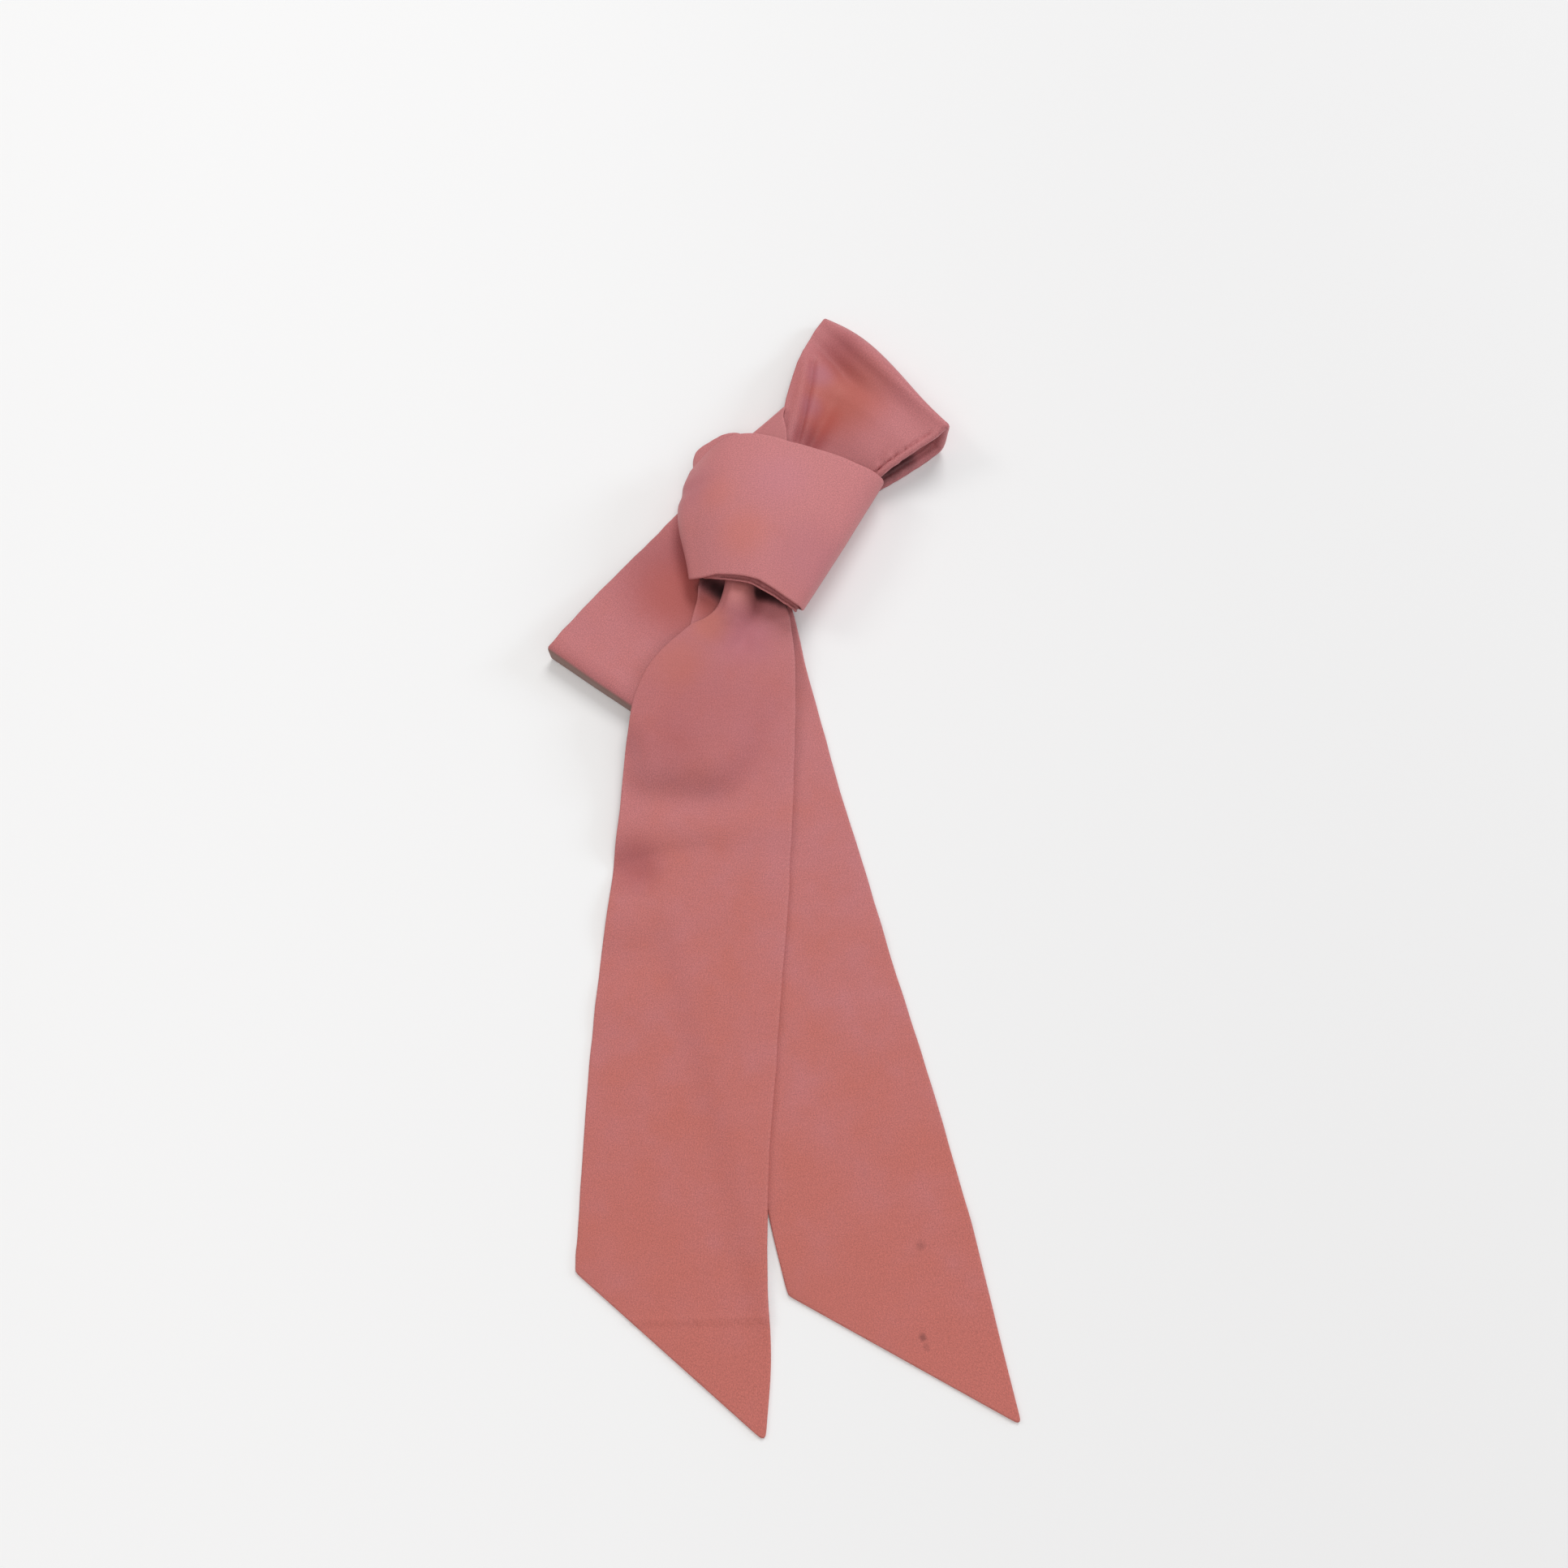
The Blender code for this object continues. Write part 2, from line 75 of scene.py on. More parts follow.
# How far the seed of each wave pattern is from the stretch's own
BROAD_SEED = 3
RESTING_SEED = 5
EDGE_B_SEED = 7
PUFF_SEED = 11

Groups = dict[str, bpy.types.ShaderNodeTree]
Colour = tuple[float, float, float]


class Held(Enum):
    """How a stretch of the strip is held."""

    LAID = "laid"
    FOLDED = "folded"
    GATHERED = "gathered"


class End(Enum):
    """What one end of a stretch is."""

    OPEN = "open"
    SEWN = "sewn"


class Section(NamedTuple):
    """One straight row across the strip, from seam edge a to seam edge b.

    Its crown is how far the cloth arches over it, the peak is where it does so most, as a share of the
    row, and the pinch is how sharply it does.
    """

    ax: float
    ay: float
    az: float
    bx: float
    by: float
    bz: float
    crown: float = 0.0
    peak: float = 0.5
    pinch: float = 1.0


class Crease(NamedTuple):
    """A soft ridge or trough between two places.

    It has a height at either end, a half width, a sideways bow, a share of the stretch past which it
    fades out, and a squareness, which is 2 for a rounded form and more for steep sides.
    """

    x0: float
    y0: float
    x1: float
    y1: float
    first: float
    last: float
    width: float
    bow: float = 0.0
    upto: float = 1.1
    squareness: float = 2.0

    def height(self, x: np.ndarray, y: np.ndarray, share: np.ndarray) -> np.ndarray:
        """How far the crease lifts the cloth.

        Args:
            x: places across the table, in millimetres.
            y: places along the table, in millimetres.
            share: how far along the stretch each place is, from 0 to 1.

        Returns:
            The lift at each place, in millimetres.
        """
        run = np.array([self.x1 - self.x0, self.y1 - self.y0])
        length = float(np.hypot(*run))
        along = ((x - self.x0) * run[0] + (y - self.y0) * run[1]) / length ** 2
        aside = ((x - self.x0) * run[1] - (y - self.y0) * run[0]) / length
        inside = np.clip(along, 0.0, 1.0)
        aside = aside - 4 * self.bow * inside * (1 - inside)
        past = (along - inside) * length
        lift = self.first + (self.last - self.first) * inside
        shape = np.exp(-np.abs(aside / self.width) ** self.squareness
                       - (past / (CREASE_END * self.width)) ** 2)
        fade = np.clip((self.upto - share) / CREASE_FADE, 0.0, 1.0)
        return lift * shape * fade * fade * (3 - 2 * fade)


class Hem(NamedTuple):
    """A fine ridge or groove along seam edge a, from a first to a last share of the stretch."""

    distance: float
    width: float
    height: float
    first: float
    last: float

    def lift(self, across: np.ndarray, share: np.ndarray, seed: int) -> np.ndarray:
        """How far it lifts the cloth, unevenly, as gathered cloth does.

        Args:
            across: the distance of each place from edge a, in millimetres.
            share: how far along the stretch each place is, from 0 to 1.
            seed: which pattern of waves makes it uneven.

        Returns:
            The lift at each place, in millimetres.
        """
        near = np.exp(-((across - self.distance) / self.width) ** 2)
        within = ramp(share - self.first, HEM_FADE) * ramp(self.last - share, HEM_FADE)
        waves = gentle_waves(share * WAVE_RUN, np.zeros_like(share), TUBE.hem_wave, seed)
        return self.height * near * within * np.clip(HEM_MEAN + HEM_SWING * waves, *HEM_LIMITS)


@dataclass(frozen=True)
class CrepeTube:
    """The folded strip's own sizes, in millimetres, and how much its plies puff up."""

    width: float = 75.0
    height: float = 1.2
    ply: float = 0.25
    roll: float = 0.8
    layer_gap: float = 0.35
    seam_gap: float = 0.3
    puff: float = 0.10
    puff_wave: float = 26.0
    puff_limits: tuple[float, float] = (0.8, 1.15)
    edge_a_wave: float = 60.0
    edge_b_wave: float = 45.0
    broad_wave: float = 55.0
    resting_wave: float = 60.0
    hem_wave: float = 16.0
    edge_steps: tuple[float, ...] = (0.0, 0.05, 0.18, 0.4, 0.75, 1.3, 2.1, 3.1)


TUBE = CrepeTube()


def ramp(values: np.ndarray, reach: float) -> np.ndarray:
    """Numbers that rise from 0 to 1 over a reach, and stay within the two."""
    return np.clip(values / reach, 0.0, 1.0)


def gentle_waves(x: np.ndarray, y: np.ndarray, size: float, seed: int) -> np.ndarray:
    """An uneven surface of soft waves, the same on every run.

    Args:
        x: places across the table, in millimetres.
        y: places along the table, in millimetres.
        size: the usual length of a wave, in millimetres.
        seed: which pattern it is.

    Returns:
        Heights from about -1 to 1.
    """
    dice = np.random.default_rng(seed)
    total = np.zeros_like(x)
    for _ in range(WAVE_COUNT):
        turn = dice.uniform(0, 2 * math.pi)
        pace = 2 * math.pi / (size * dice.uniform(*WAVE_SPREAD))
        phase = dice.uniform(0, 2 * math.pi)
        total = total + np.sin(pace * (x * math.cos(turn) + y * math.sin(turn)) + phase)
    return total / math.sqrt(2 * WAVE_COUNT)


def half_turn(first: Section, tip: Section, last: Section, roundness: float = 1.0,
              steps: int = 13) -> list[Section]:
    """The rows of a fold, from one row to another through the tip row.

    Args:
        first: the row where the fold starts.
        tip: the row at its outermost point.
        last: the row where it ends.
        roundness: 1 for half an ellipse, less for a flat side between two tighter bends.
        steps: the number of rows.

    Returns:
        The fold's rows.
    """
    start, outer, end = (np.array(row) for row in (first, tip, last))
    centre = (start + end) / 2
    angles = np.linspace(0.0, math.pi, steps)
    back = np.sign(np.cos(angles)) * np.abs(np.cos(angles)) ** roundness
    out = np.sin(angles) ** roundness
    return [Section(*(centre + (start - centre) * b + (outer - centre) * o)) for b, o in zip(back, out)]


def moved_towards(row: Section, other: Section, distance: float) -> Section:
    """A row shifted along the strip towards another row.

    Args:
        row: the row to shift.
        other: the row to shift it towards.
        distance: how far, in millimetres.

    Returns:
        The shifted row.
    """
    here, there = np.array(row), np.array(other)
    step = ((there - here)[0:3] + (there - here)[3:6]) / 2
    step = step * distance / np.linalg.norm(step)
    here[0:3] += step
    here[3:6] += step
    return Section(*here)


def smooth_columns(table: np.ndarray, knots: np.ndarray, places: np.ndarray) -> np.ndarray:
    """Each column of a table at new places, on a curve through its rows.

    Args:
        table: the rows that the curve passes through.
        knots: where along the strip each row is.
        places: where the new rows are.

    Returns:
        The new rows.
    """
    gaps = np.diff(knots)
    slopes = np.diff(table, axis=0) / gaps[:, None]
    tangents = np.empty_like(table)
    tangents[0], tangents[-1] = slopes[0], slopes[-1]
    before, after = gaps[:-1, None], gaps[1:, None]
    tangents[1:-1] = (slopes[:-1] * after + slopes[1:] * before) / (before + after)
    index = np.clip(np.searchsorted(knots, places, side="right") - 1, 0, len(gaps) - 1)
    gap = gaps[index][:, None]
    t = ((places - knots[index]) / gaps[index])[:, None]
    start = (2 * t ** 3 - 3 * t ** 2 + 1) * table[index] + (t ** 3 - 2 * t ** 2 + t) * gap * tangents[index]
    end = (3 * t ** 2 - 2 * t ** 3) * table[index + 1] + (t ** 3 - t ** 2) * gap * tangents[index + 1]
    return start + end


def blurred(values: np.ndarray, passes: int) -> np.ndarray:
    """A grid of numbers, each evened out with its neighbours.

    Args:
        values: the grid.
        passes: how many times it is evened out.

    Returns:
        The softer grid.
    """
    soft = values.copy()
    for _ in range(passes):
        soft[1:-1] = (soft[:-2] + 2 * soft[1:-1] + soft[2:]) / 4
        soft[:, 1:-1] = (soft[:, :-2] + 2 * soft[:, 1:-1] + soft[:, 2:]) / 4
    return soft


def grid_normals(grid: np.ndarray) -> np.ndarray:
    """The direction that the strip's outer side faces, at every point of a grid."""
    normals = np.cross(np.gradient(grid, axis=0), np.gradient(grid, axis=1))
    return normals / np.maximum(np.linalg.norm(normals, axis=2, keepdims=True), 1e-9)


class TableTop:
    """The height of everything laid so far, on a grid of one-millimetre cells over the table."""

    half_x: int = 120
    half_y: int = 270
    span_reach: int = 10
    span_softness: int = 9

    def __init__(self) -> None:
        """Start with a bare table."""
        self.height = np.zeros((2 * self.half_x + 1, 2 * self.half_y + 1))
        self.soft = self.height

    def stamp(self, grid: np.ndarray) -> None:
        """Lay a stretch down, with its wall and the gap that the next layer keeps.

        Args:
            grid: the stretch's middle surface.
        """
        along = np.linspace(0, grid.shape[0] - 1, 3 * grid.shape[0])
        low = np.minimum(along.astype(int), grid.shape[0] - 2)
        part = (along - low)[:, None, None]
        fine = grid[low] * (1 - part) + grid[low + 1] * part
        column = np.rint(fine[..., 0] + self.half_x).astype(int)
        row = np.rint(fine[..., 1] + self.half_y).astype(int)
        np.maximum.at(self.height, (column, row), fine[..., 2] + TUBE.height / 2 + TUBE.layer_gap)
        self.soft = self.softened()

    def softened(self) -> np.ndarray:
        """The heights as cloth spans them: widened first, then smoothed by less than that.

        Returns:
            The softened heights.
        """
        wide = self.height
        reach = range(-self.span_reach, self.span_reach + 1)
        for axis in (0, 1):
            wide = np.max([np.roll(wide, step, axis) for step in reach], axis=0)
        weights = np.hanning(2 * self.span_softness + 3)[1:-1]
        weights = weights / weights.sum()
        steps = range(-self.span_softness, self.span_softness + 1)
        for axis in (0, 1):
            wide = np.sum([w * np.roll(wide, step, axis) for w, step in zip(weights, steps)], axis=0)
        return wide

    def under(self, x: np.ndarray, y: np.ndarray) -> np.ndarray:
        """The softened height at places on the table.

        Args:
            x: places across the table, in millimetres.
            y: places along the table, in millimetres.

        Returns:
            The height at each place, in millimetres.
        """
        column, row = x + self.half_x, y + self.half_y
        left, low = np.floor(column).astype(int), np.floor(row).astype(int)
        s, t = column - left, row - low
        near = self.soft[left, low] * (1 - s) + self.soft[left + 1, low] * s
        far = self.soft[left, low + 1] * (1 - s) + self.soft[left + 1, low + 1] * s
        return near * (1 - t) + far * t


# Finishes


def new_group(name: str, inputs: Sequence[tuple], outputs: Sequence[tuple]) -> bpy.types.ShaderNodeTree:
    """A shader node group with its sockets, ready to be filled.

    Args:
        name: the group's name.
        inputs: name, socket type and default of each input.
        outputs: name and socket type of each output.

    Returns:
        The group, with one input and one output node in it.
    """
    group = bpy.data.node_groups.new(name, "ShaderNodeTree")
    for label, kind, default in inputs:
        socket = group.interface.new_socket(label, in_out="INPUT", socket_type=kind)
        if default is not None:
            socket.default_value = default
    for label, kind in outputs:
        group.interface.new_socket(label, in_out="OUTPUT", socket_type=kind)
    group.nodes.new("NodeGroupInput").name = "In"
    group.nodes.new("NodeGroupOutput").name = "Out"
    return group


class Wiring:
    """A short hand for placing nodes in a tree and joining them."""

    def __init__(self, tree: bpy.types.NodeTree) -> None:
        """Work on one node tree."""
        self.tree = tree

    def put(self, kind: str, values: dict | None = None, **settings: object) -> bpy.types.Node:
        """Place a node, set its own settings and its sockets, and link the sockets given as outputs.

        Args:
            kind: the node's type.
            values: socket name or number to a number, a colour, a vector or another node's output.
            settings: the node's own settings.

        Returns:
            The new node.
        """
        node = self.tree.nodes.new(kind)
        for label, value in settings.items():
            setattr(node, label, value)
        for label, value in (values or {}).items():
            if isinstance(value, bpy.types.NodeSocket):
                self.tree.links.new(value, node.inputs[label])
            else:
                node.inputs[label].default_value = value
        return node

    def sum(self, kind: str, *values: object) -> bpy.types.NodeSocket:
        """The result of a maths node, such as ADD or MULTIPLY."""
        return self.put("ShaderNodeMath", dict(enumerate(values)), operation=kind).outputs[0]

    def link(self, source: bpy.types.NodeSocket, node: bpy.types.Node, label: str) -> None:
        """Join an output to a node's input."""
        self.tree.links.new(source, node.inputs[label])


class CrepeWeave:
    """The crinkled plain weave: fine threads both ways, pulled into tiny pebbles by their twist."""

    name: str = "crepe weave"
    thread_sway: float = 0.0005

    def build(self) -> bpy.types.ShaderNodeTree:
        """Make the group.

        Returns:
            A group that puts out a height for the bump, and a mask of the small hollows.
        """
        group = new_group(
            self.name,
            [("Cloth", "NodeSocketVector", None), ("Thread Pitch", "NodeSocketFloat", 0.0005),
             ("Pebble Size", "NodeSocketFloat", 0.0011), ("Thread Share", "NodeSocketFloat", 0.4)],
            [("Height", "NodeSocketFloat"), ("Hollows", "NodeSocketFloat")])
        wire = Wiring(group)
        given, result = group.nodes["In"], group.nodes["Out"]
        cloth, pitch = given.outputs["Cloth"], given.outputs["Thread Pitch"]
        sway = wire.put("ShaderNodeTexNoise", {"Vector": cloth, "Scale": 900.0, "Detail": 1.0})
        centred = wire.put("ShaderNodeVectorMath", {0: sway.outputs["Color"], 1: (0.5, 0.5, 0.5)},
                           operation="SUBTRACT")
        shift = wire.put("ShaderNodeVectorMath", {0: centred.outputs[0], "Scale": self.thread_sway},
                         operation="SCALE")
        moved = wire.put("ShaderNodeVectorMath", {0: cloth, 1: shift.outputs[0]}, operation="ADD")
        parts = wire.put("ShaderNodeSeparateXYZ", {"Vector": moved.outputs[0]})
        turn = wire.sum("DIVIDE", 2 * math.pi, pitch)
        warp = wire.sum("SINE", wire.sum("MULTIPLY", parts.outputs["X"], turn))
        weft = wire.sum("SINE", wire.sum("MULTIPLY", parts.outputs["Y"], turn))
        threads = wire.sum("MULTIPLY_ADD", wire.sum("MULTIPLY", warp, weft), 0.5, 0.5)
        pebble = wire.put("ShaderNodeTexNoise", {"Vector": cloth, "Detail": 2.5, "Roughness": 0.6})
        wire.link(wire.sum("DIVIDE", 1.0, given.outputs["Pebble Size"]), pebble, "Scale")
        mix = wire.put("ShaderNodeMix", {"Factor": given.outputs["Thread Share"], "A": pebble.outputs["Fac"],
                                         "B": threads}, data_type="FLOAT")
        hollow = wire.put("ShaderNodeMapRange", {"Value": mix.outputs[0], "From Min": 0.35, "From Max": 0.6,
                                                 "To Min": 1.0, "To Max": 0.0})
        wire.link(mix.outputs[0], result, "Height")
        wire.link(hollow.outputs["Result"], result, "Hollows")
        return group


class UnevenDye:
    """Slow changes of the dye from a warmer to a cooler rose in soft patches, a drift to the cooler rose
    further along y, and the dye's fine speckle.
    """

    name: str = "uneven dye"
    spread: float = 1.7
    slub_share: float = 0.09

    def build(self) -> bpy.types.ShaderNodeTree:
        """Make the group.

        Returns:
            A group that puts out the dyed colour at a place.
        """
        group = new_group(
            self.name,
            [("Place", "NodeSocketVector", None), ("Cloth", "NodeSocketVector", None),
             ("Cool From", "NodeSocketFloat", -0.2), ("Cool Over", "NodeSocketFloat", 0.3),
             ("Warm", "NodeSocketColor", (0.5, 0.16, 0.14, 1.0)),
             ("Cool", "NodeSocketColor", (0.5, 0.16, 0.18, 1.0)), ("Speckle", "NodeSocketFloat", 0.1)],
            [("Color", "NodeSocketColor")])
        wire = Wiring(group)
        given, result = group.nodes["In"], group.nodes["Out"]
        broad = wire.put("ShaderNodeTexNoise", {"Vector": given.outputs["Place"], "Scale": 34.0,
                                                "Detail": 3.0, "Roughness": 0.62})
        parts = wire.put("ShaderNodeSeparateXYZ", {"Vector": given.outputs["Place"]})
        run = wire.sum("DIVIDE", wire.sum("SUBTRACT", parts.outputs["Y"], given.outputs["Cool From"]),
                       given.outputs["Cool Over"])
        patches = wire.sum("MULTIPLY_ADD", broad.outputs["Fac"], self.spread, -self.spread / 2)
        drift = wire.sum("ADD", patches, run)
        tint = wire.put("ShaderNodeMapRange", {"Value": drift, "From Min": -0.2, "From Max": 1.2},
                        interpolation_type="SMOOTHSTEP")
        dyed = wire.put("ShaderNodeMix", {"Factor": tint.outputs["Result"], "A": given.outputs["Warm"],
                                          "B": given.outputs["Cool"]}, data_type="RGBA")
        fine = wire.put("ShaderNodeTexNoise", {"Vector": given.outputs["Cloth"], "Scale": 1900.0,
                                               "Detail": 2.0, "Roughness": 0.7})
        across = wire.put("ShaderNodeVectorMath", {0: given.outputs["Cloth"], 1: (1.0, 0.18, 1.0)},
                          operation="MULTIPLY")
        slub = wire.put("ShaderNodeTexNoise", {"Vector": across.outputs[0], "Scale": 620.0, "Detail": 2.0})
        both = wire.sum("MULTIPLY_ADD", slub.outputs["Fac"], self.slub_share, fine.outputs["Fac"])
        grain = wire.sum("SUBTRACT", both, 0.5 + self.slub_share / 2)
        value = wire.sum("MULTIPLY_ADD", grain, given.outputs["Speckle"], 1.0)
        shade = wire.put("ShaderNodeCombineColor", {0: value, 1: value, 2: value})
        worn = wire.put("ShaderNodeMix", {"Factor": 1.0, "A": dyed.outputs["Result"], "B": shade.outputs[0]},
                        data_type="RGBA", blend_type="MULTIPLY")
        wire.link(worn.outputs["Result"], result, "Color")
        return group


class SeamPucker:
    """The small dimples that the hidden stitches pull along a turned seam."""

    name: str = "seam pucker"

    def build(self) -> bpy.types.ShaderNodeTree:
        """Make the group.

        Returns:
            A group that puts out a height that is felt only close to a seam edge, and a mask of that edge.
        """
        group = new_group(
            self.name,
            [("Cloth", "NodeSocketVector", None), ("Seam Distance", "NodeSocketFloat", 0.0),
             ("Stitch Pitch", "NodeSocketFloat", 0.0024), ("Reach", "NodeSocketFloat", 2.2)],
            [("Height", "NodeSocketFloat"), ("Edge", "NodeSocketFloat")])
        wire = Wiring(group)
        given, result = group.nodes["In"], group.nodes["Out"]
        edge = wire.put("ShaderNodeMapRange", {"Value": given.outputs["Seam Distance"], "From Min": 0.0,
                                               "To Min": 1.0, "To Max": 0.0},
                        interpolation_type="SMOOTHSTEP")
        wire.link(given.outputs["Reach"], edge, "From Max")
        parts = wire.put("ShaderNodeSeparateXYZ", {"Vector": given.outputs["Cloth"]})
        turn = wire.sum("DIVIDE", 2 * math.pi, given.outputs["Stitch Pitch"])
        beat = wire.sum("SINE", wire.sum("MULTIPLY", parts.outputs["X"], turn))
        uneven = wire.put("ShaderNodeTexNoise", {"Vector": given.outputs["Cloth"], "Scale": 240.0,
                                                 "Detail": 1.0})
        dimple = wire.sum("MULTIPLY", beat, uneven.outputs["Fac"])
        wire.link(wire.sum("MULTIPLY", dimple, edge.outputs["Result"]), result, "Height")
        wire.link(edge.outputs["Result"], result, "Edge")
        return group


class SoftMark:
    """A faint mark with a ragged soft rim, such as a water stain or a patch of painted shade."""

    name: str = "soft mark"

    def build(self) -> bpy.types.ShaderNodeTree:
        """Make the group.

        Returns:
            A group that puts out a mask that is strongest in the middle of the mark.
        """
        group = new_group(
            self.name,
            [("Place", "NodeSocketVector", None), ("Middle", "NodeSocketVector", None),
             ("Radius", "NodeSocketFloat", 0.003), ("Strength", "NodeSocketFloat", 0.2),
             ("Raggedness", "NodeSocketFloat", 0.9)],
            [("Mark", "NodeSocketFloat")])
        wire = Wiring(group)
        given, result = group.nodes["In"], group.nodes["Out"]
        rough = wire.put("ShaderNodeTexNoise", {"Vector": given.outputs["Place"], "Scale": 420.0,
                                                "Detail": 2.0})
        swing = wire.sum("SUBTRACT", rough.outputs["Fac"], 0.5)
        ragged = wire.sum("MULTIPLY_ADD", swing, given.outputs["Raggedness"], 1.0)
        apart = wire.put("ShaderNodeVectorMath", {0: given.outputs["Place"], 1: given.outputs["Middle"]},
                         operation="DISTANCE")
        reach = wire.sum("MULTIPLY", given.outputs["Radius"], ragged)
        share = wire.sum("DIVIDE", apart.outputs["Value"], reach)
        fall = wire.put("ShaderNodeMapRange", {"Value": share, "From Min": 0.2, "From Max": 1.2,
                                               "To Min": 1.0, "To Max": 0.0},
                        interpolation_type="SMOOTHSTEP")
        wire.link(wire.sum("MULTIPLY", fall.outputs["Result"], given.outputs["Strength"]), result, "Mark")
        return group


DEEP_ROSE: Colour = (0.09, 0.02, 0.02)


class Mark(NamedTuple):
    """A stain, a patch of dye, or a patch of painted shade or highlight: its middle on the table, its
    radius, strength, rim and colour.
    """

    x: float
    y: float
    z: float
    radius: float
    strength: float
    raggedness: float = 0.9
    colour: Colour = DEEP_ROSE


def patch(x: float, y: float, z: float, radius: float, strength: float, colour: Colour,
          raggedness: float = 0.2) -> Mark:
    """A soft patch of another colour, for a change of the dye, for painted shade or for a painted highlight.
    """
    return Mark(x, y, z, radius, strength, raggedness, colour)


def painted_shade(x: float, y: float, z: float, radius: float, strength: float) -> Mark:
    """A broad patch of painted shade, in a deeper rose."""
    return patch(x, y, z, radius, strength, (0.27, 0.015, 0.02))


def painted_fold_shade(x: float, y: float, z: float, radius: float, strength: float) -> Mark:
    """A spot of painted shade deep in a fold, where hardly any light comes, in a near-black rose."""
    return patch(x, y, z, radius, strength, (0.03, 0.004, 0.006))


@dataclass(frozen=True)
class CrepeFinish:
    """The matte rose crepe: its dye, its weave and its sheen, its marks, which include painted shade and
    highlights, and painted shade on the upright sides of folds.
    """

    name: str
    marks: tuple[Mark, ...] = ()
    warm: Colour = (0.530, 0.140, 0.114)
    cool: Colour = (0.535, 0.176, 0.188)
    # A grey brown, painted as shade on the upright sides of folds
    side_shade_colour: Colour = (0.200, 0.118, 0.092)
    worn: Colour = (0.62, 0.30, 0.28)
    speckle: float = 1.15
    hollow_depth: float = 0.10
    edge_wear: float = 0.05
    roughness: float = 0.54
    hollow_roughness: float = 0.08
    sheen: float = 0.06
    sheen_roughness: float = 0.45
    sheen_tint: Colour = (1.0, 0.86, 0.84)
    thread_pitch: float = 0.00052
    pebble: float = 0.0012
    bump_mm: float = 0.10
    pucker_mm: float = 0.09

    def build(self, groups: Groups) -> bpy.types.Material:
        """Make the material.

        Args:
            groups: the shared shader node groups by name.

        Returns:
            The crepe material.
        """
        material = bpy.data.materials.new(self.name)
        material.use_nodes = True
        tree = material.node_tree
        wire = Wiring(tree)
        shader = tree.nodes["Principled BSDF"]
        place = wire.put("ShaderNodeTexCoord").outputs["Object"]
        cloth = wire.put("ShaderNodeUVMap", uv_map="cloth").outputs["UV"]
        seam = wire.put("ShaderNodeAttribute", attribute_name="seam_mm").outputs["Fac"]
        side_shade = wire.put("ShaderNodeAttribute", attribute_name="side_shade").outputs["Fac"]

        weave = wire.put("ShaderNodeGroup", node_tree=groups[CrepeWeave.name])
        for label, value in (("Thread Pitch", self.thread_pitch), ("Pebble Size", self.pebble)):
            weave.inputs[label].default_value = value
        wire.link(cloth, weave, "Cloth")
        dye = wire.put("ShaderNodeGroup", node_tree=groups[UnevenDye.name])
        dye.inputs["Warm"].default_value = (*self.warm, 1.0)
        dye.inputs["Cool"].default_value = (*self.cool, 1.0)
        dye.inputs["Speckle"].default_value = self.speckle
        wire.link(place, dye, "Place")
        wire.link(cloth, dye, "Cloth")
        pucker = wire.put("ShaderNodeGroup", node_tree=groups[SeamPucker.name])
        wire.link(cloth, pucker, "Cloth")
        wire.link(seam, pucker, "Seam Distance")

        deep = wire.sum("MULTIPLY", weave.outputs["Hollows"], self.hollow_depth)
        colour = self.blended(wire, dye.outputs["Color"], deep, DEEP_ROSE)
        # The marks are stains, changes of dye, painted shade and painted highlights
        for mark in self.marks:
            spot = wire.put("ShaderNodeGroup", node_tree=groups[SoftMark.name])
            middle = (np.array([mark.x, mark.y, mark.z]) - CENTRE) * MM
            for label, value in (("Middle", middle), ("Radius", mark.radius * MM),
                                 ("Strength", mark.strength), ("Raggedness", mark.raggedness)):
                spot.inputs[label].default_value = value
            wire.link(place, spot, "Place")
            colour = self.blended(wire, colour, spot.outputs["Mark"], mark.colour)
        # Painted shade in grey brown on the upright sides of folds
        colour = self.blended(wire, colour, side_shade, self.side_shade_colour)
        wear = wire.sum("MULTIPLY", pucker.outputs["Edge"], self.edge_wear)
        wire.link(self.blended(wire, colour, wear, self.worn), shader, "Base Color")
        rough = wire.sum("MULTIPLY_ADD", weave.outputs["Hollows"], self.hollow_roughness, self.roughness)
        wire.link(rough, shader, "Roughness")

        fine = wire.put("ShaderNodeBump", {"Height": weave.outputs["Height"], "Distance": self.bump_mm * MM,
                                           "Strength": 1.0})
        seamed = wire.put("ShaderNodeBump", {"Height": pucker.outputs["Height"], "Strength": 1.0,
                                             "Distance": self.pucker_mm * MM,
                                             "Normal": fine.outputs["Normal"]})
        wire.link(seamed.outputs["Normal"], shader, "Normal")
        shader.inputs["Metallic"].default_value = 0.0
        shader.inputs["Specular IOR Level"].default_value = 0.5
        shader.inputs["Sheen Weight"].default_value = self.sheen
        shader.inputs["Sheen Roughness"].default_value = self.sheen_roughness
        shader.inputs["Sheen Tint"].default_value = (*self.sheen_tint, 1.0)
        return material

    def blended(self, wire: Wiring, colour: bpy.types.NodeSocket, amount: bpy.types.NodeSocket,
                other: Colour) -> bpy.types.NodeSocket:
        """Move a colour towards another one.

        Args:
            wire: the tree that the node is put into.
            colour: the colour to start from.
            amount: how far it moves, from 0 to 1.
            other: the colour that it moves towards.

        Returns:
            The mixed colour.
        """
        mixed = wire.put("ShaderNodeMix", {"Factor": amount, "A": colour, "B": (*other, 1.0)},
                         data_type="RGBA")
        return mixed.outputs["Result"]


